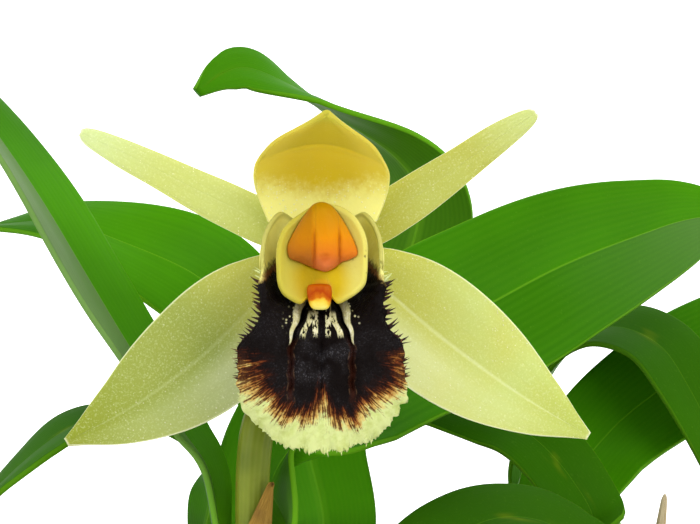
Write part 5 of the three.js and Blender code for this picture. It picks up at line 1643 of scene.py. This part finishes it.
class ORCHID_OT_column(PieceOperator):
    """The column with its hood and tongue, and the anther cap"""

    bl_idname = "orchid.column"
    bl_label = "Column and anther cap"

    @staticmethod
    def loop(points):
        """x and z of a smooth closed outline through points, where a full turn goes once round it."""
        curve = Spline([(x, 0, z) for x, z in [points[-1], *points, *points[:2]]])
        count = len(points)

        def edge(angle):
            x, _, z = np.moveaxis(curve.at((1 + angle / (2 * math.pi) * count) / (count + 2)), -1, 0)
            return x, z

        return edge

    def ringed(self, name, kind, knots, outline_points, brow=0.0, relief=None):
        """A body of rings, each a share of the same outline. brow moves their upper side back."""
        curve = Spline([(share, depth, 0) for share, depth in knots])
        edge = self.loop(outline_points)

        def place(angle, v):
            share, depth, _ = np.moveaxis(curve.at(v), -1, 0)
            share = np.where(np.minimum(v, 1 - v) < 1e-9, 0, share)
            x, z = edge(angle)
            back = brow * share * (np.maximum(z, 0) / np.hypot(x, z)) ** 2
            height = MIDDLES[kind] + 0.15 * np.maximum(depth, 0)
            depth = depth + np.where(depth < 0, back, 0)
            x, z = share * x, share * z
            if relief is not None:
                depth = depth + relief(x, z, v)
            return in_flower(np.stack([x, depth, height + z], axis=-1))

        return tube_piece(name, MESH[kind], place)

    def bed(self):
        """The hollow in the hood's face that the anther cap lies in, as a relief."""
        x, z = self.loop(ANTHER_OUTLINE)(np.linspace(0, 2 * math.pi, 721))
        turn, reach = np.arctan2(z, x), np.hypot(x, z)
        order = np.argsort(turn)
        turn, reach = turn[order], reach[order]
        rise = MIDDLES["anther"] - MIDDLES["column"]

        def relief(x, z, v):
            z = z - rise
            share = np.hypot(x, z) / np.interp(np.arctan2(z, x), turn, reach, period=2 * math.pi)
            return 0.5 * (1 - smoothstep(share, 0.96, 1.03)) * (1 - smoothstep(v, 0.4, 0.46))

        return relief

    @staticmethod
    def cap_relief(x, z, v):
        """Two grooves with a raised ridge between them, and a beak at the lower edge."""
        front = 1 - smoothstep(v, 0.4, 0.55)
        grooves = 0.26 * (bump(x, -0.55, 0.15) + bump(x, 1.35, 0.15)) * smoothstep(z, 1.0, -0.2)
        ridge = -0.32 * bump(x, 0.4, 0.8) * smoothstep(z, 2.2, 0.2)
        beak = -0.4 * bump(np.hypot(x - 0.3, (z + 2.15) * 1.2), 0, 0.55)
        hollow = 0.28 * bump(np.hypot(x - 0.3, (z + 1.45) * 1.6), 0, 0.36)
        return front * (grooves + ridge + beak + hollow)

    def build(self, scene):
        settings = scene.orchid_flower
        body = self.ringed("column_hood", "column", COLUMN_RINGS, COLUMN_OUTLINE, brow=1.2, relief=self.bed())
        body.data.materials.append(column_paint(settings))
        tongue = self.ringed("column_tongue", "tongue", TONGUE_RINGS, TONGUE_OUTLINE)
        tongue.data.materials.append(tongue_paint())
        seat(merged([body, tongue], "column_body"), "column", "column")
        cap = self.ringed("anther_cap_body", "anther", ANTHER_RINGS, ANTHER_OUTLINE, relief=self.cap_relief)
        seat(cap, "anther", "anther_cap", finish=anther_paint(settings))


OPERATORS = [
    ORCHID_OT_stage, ORCHID_OT_pot, ORCHID_OT_bark, ORCHID_OT_rhizome, ORCHID_OT_pseudobulbs, ORCHID_OT_leaves,
    ORCHID_OT_stems, ORCHID_OT_tepals, ORCHID_OT_lip, ORCHID_OT_column,
]


class ORCHID_PT_pieces(bpy.types.Panel):
    """The orchid's pieces and their settings"""

    bl_label = "Potted orchid"
    bl_space_type = "VIEW_3D"
    bl_region_type = "UI"
    bl_category = "Orchid"

    def draw(self, context):
        for operator in OPERATORS:
            self.layout.operator(operator.bl_idname)
        for key, group in SETTINGS.items():
            box = self.layout.box()
            for setting in group.__annotations__:
                box.prop(getattr(context.scene, key), setting)


def register():
    for key, group in SETTINGS.items():
        bpy.utils.register_class(group)
        setattr(bpy.types.Scene, key, PointerProperty(type=group))
    for cls in [*OPERATORS, ORCHID_PT_pieces]:
        bpy.utils.register_class(cls)


def unregister():
    for cls in [ORCHID_PT_pieces, *reversed(OPERATORS)]:
        bpy.utils.unregister_class(cls)
    for key, group in SETTINGS.items():
        delattr(bpy.types.Scene, key)
        bpy.utils.unregister_class(group)


def main():
    register()
    for operator in OPERATORS:
        category, name = operator.bl_idname.split(".")
        getattr(getattr(bpy.ops, category), name)()


if __name__ == "__main__":
    main()
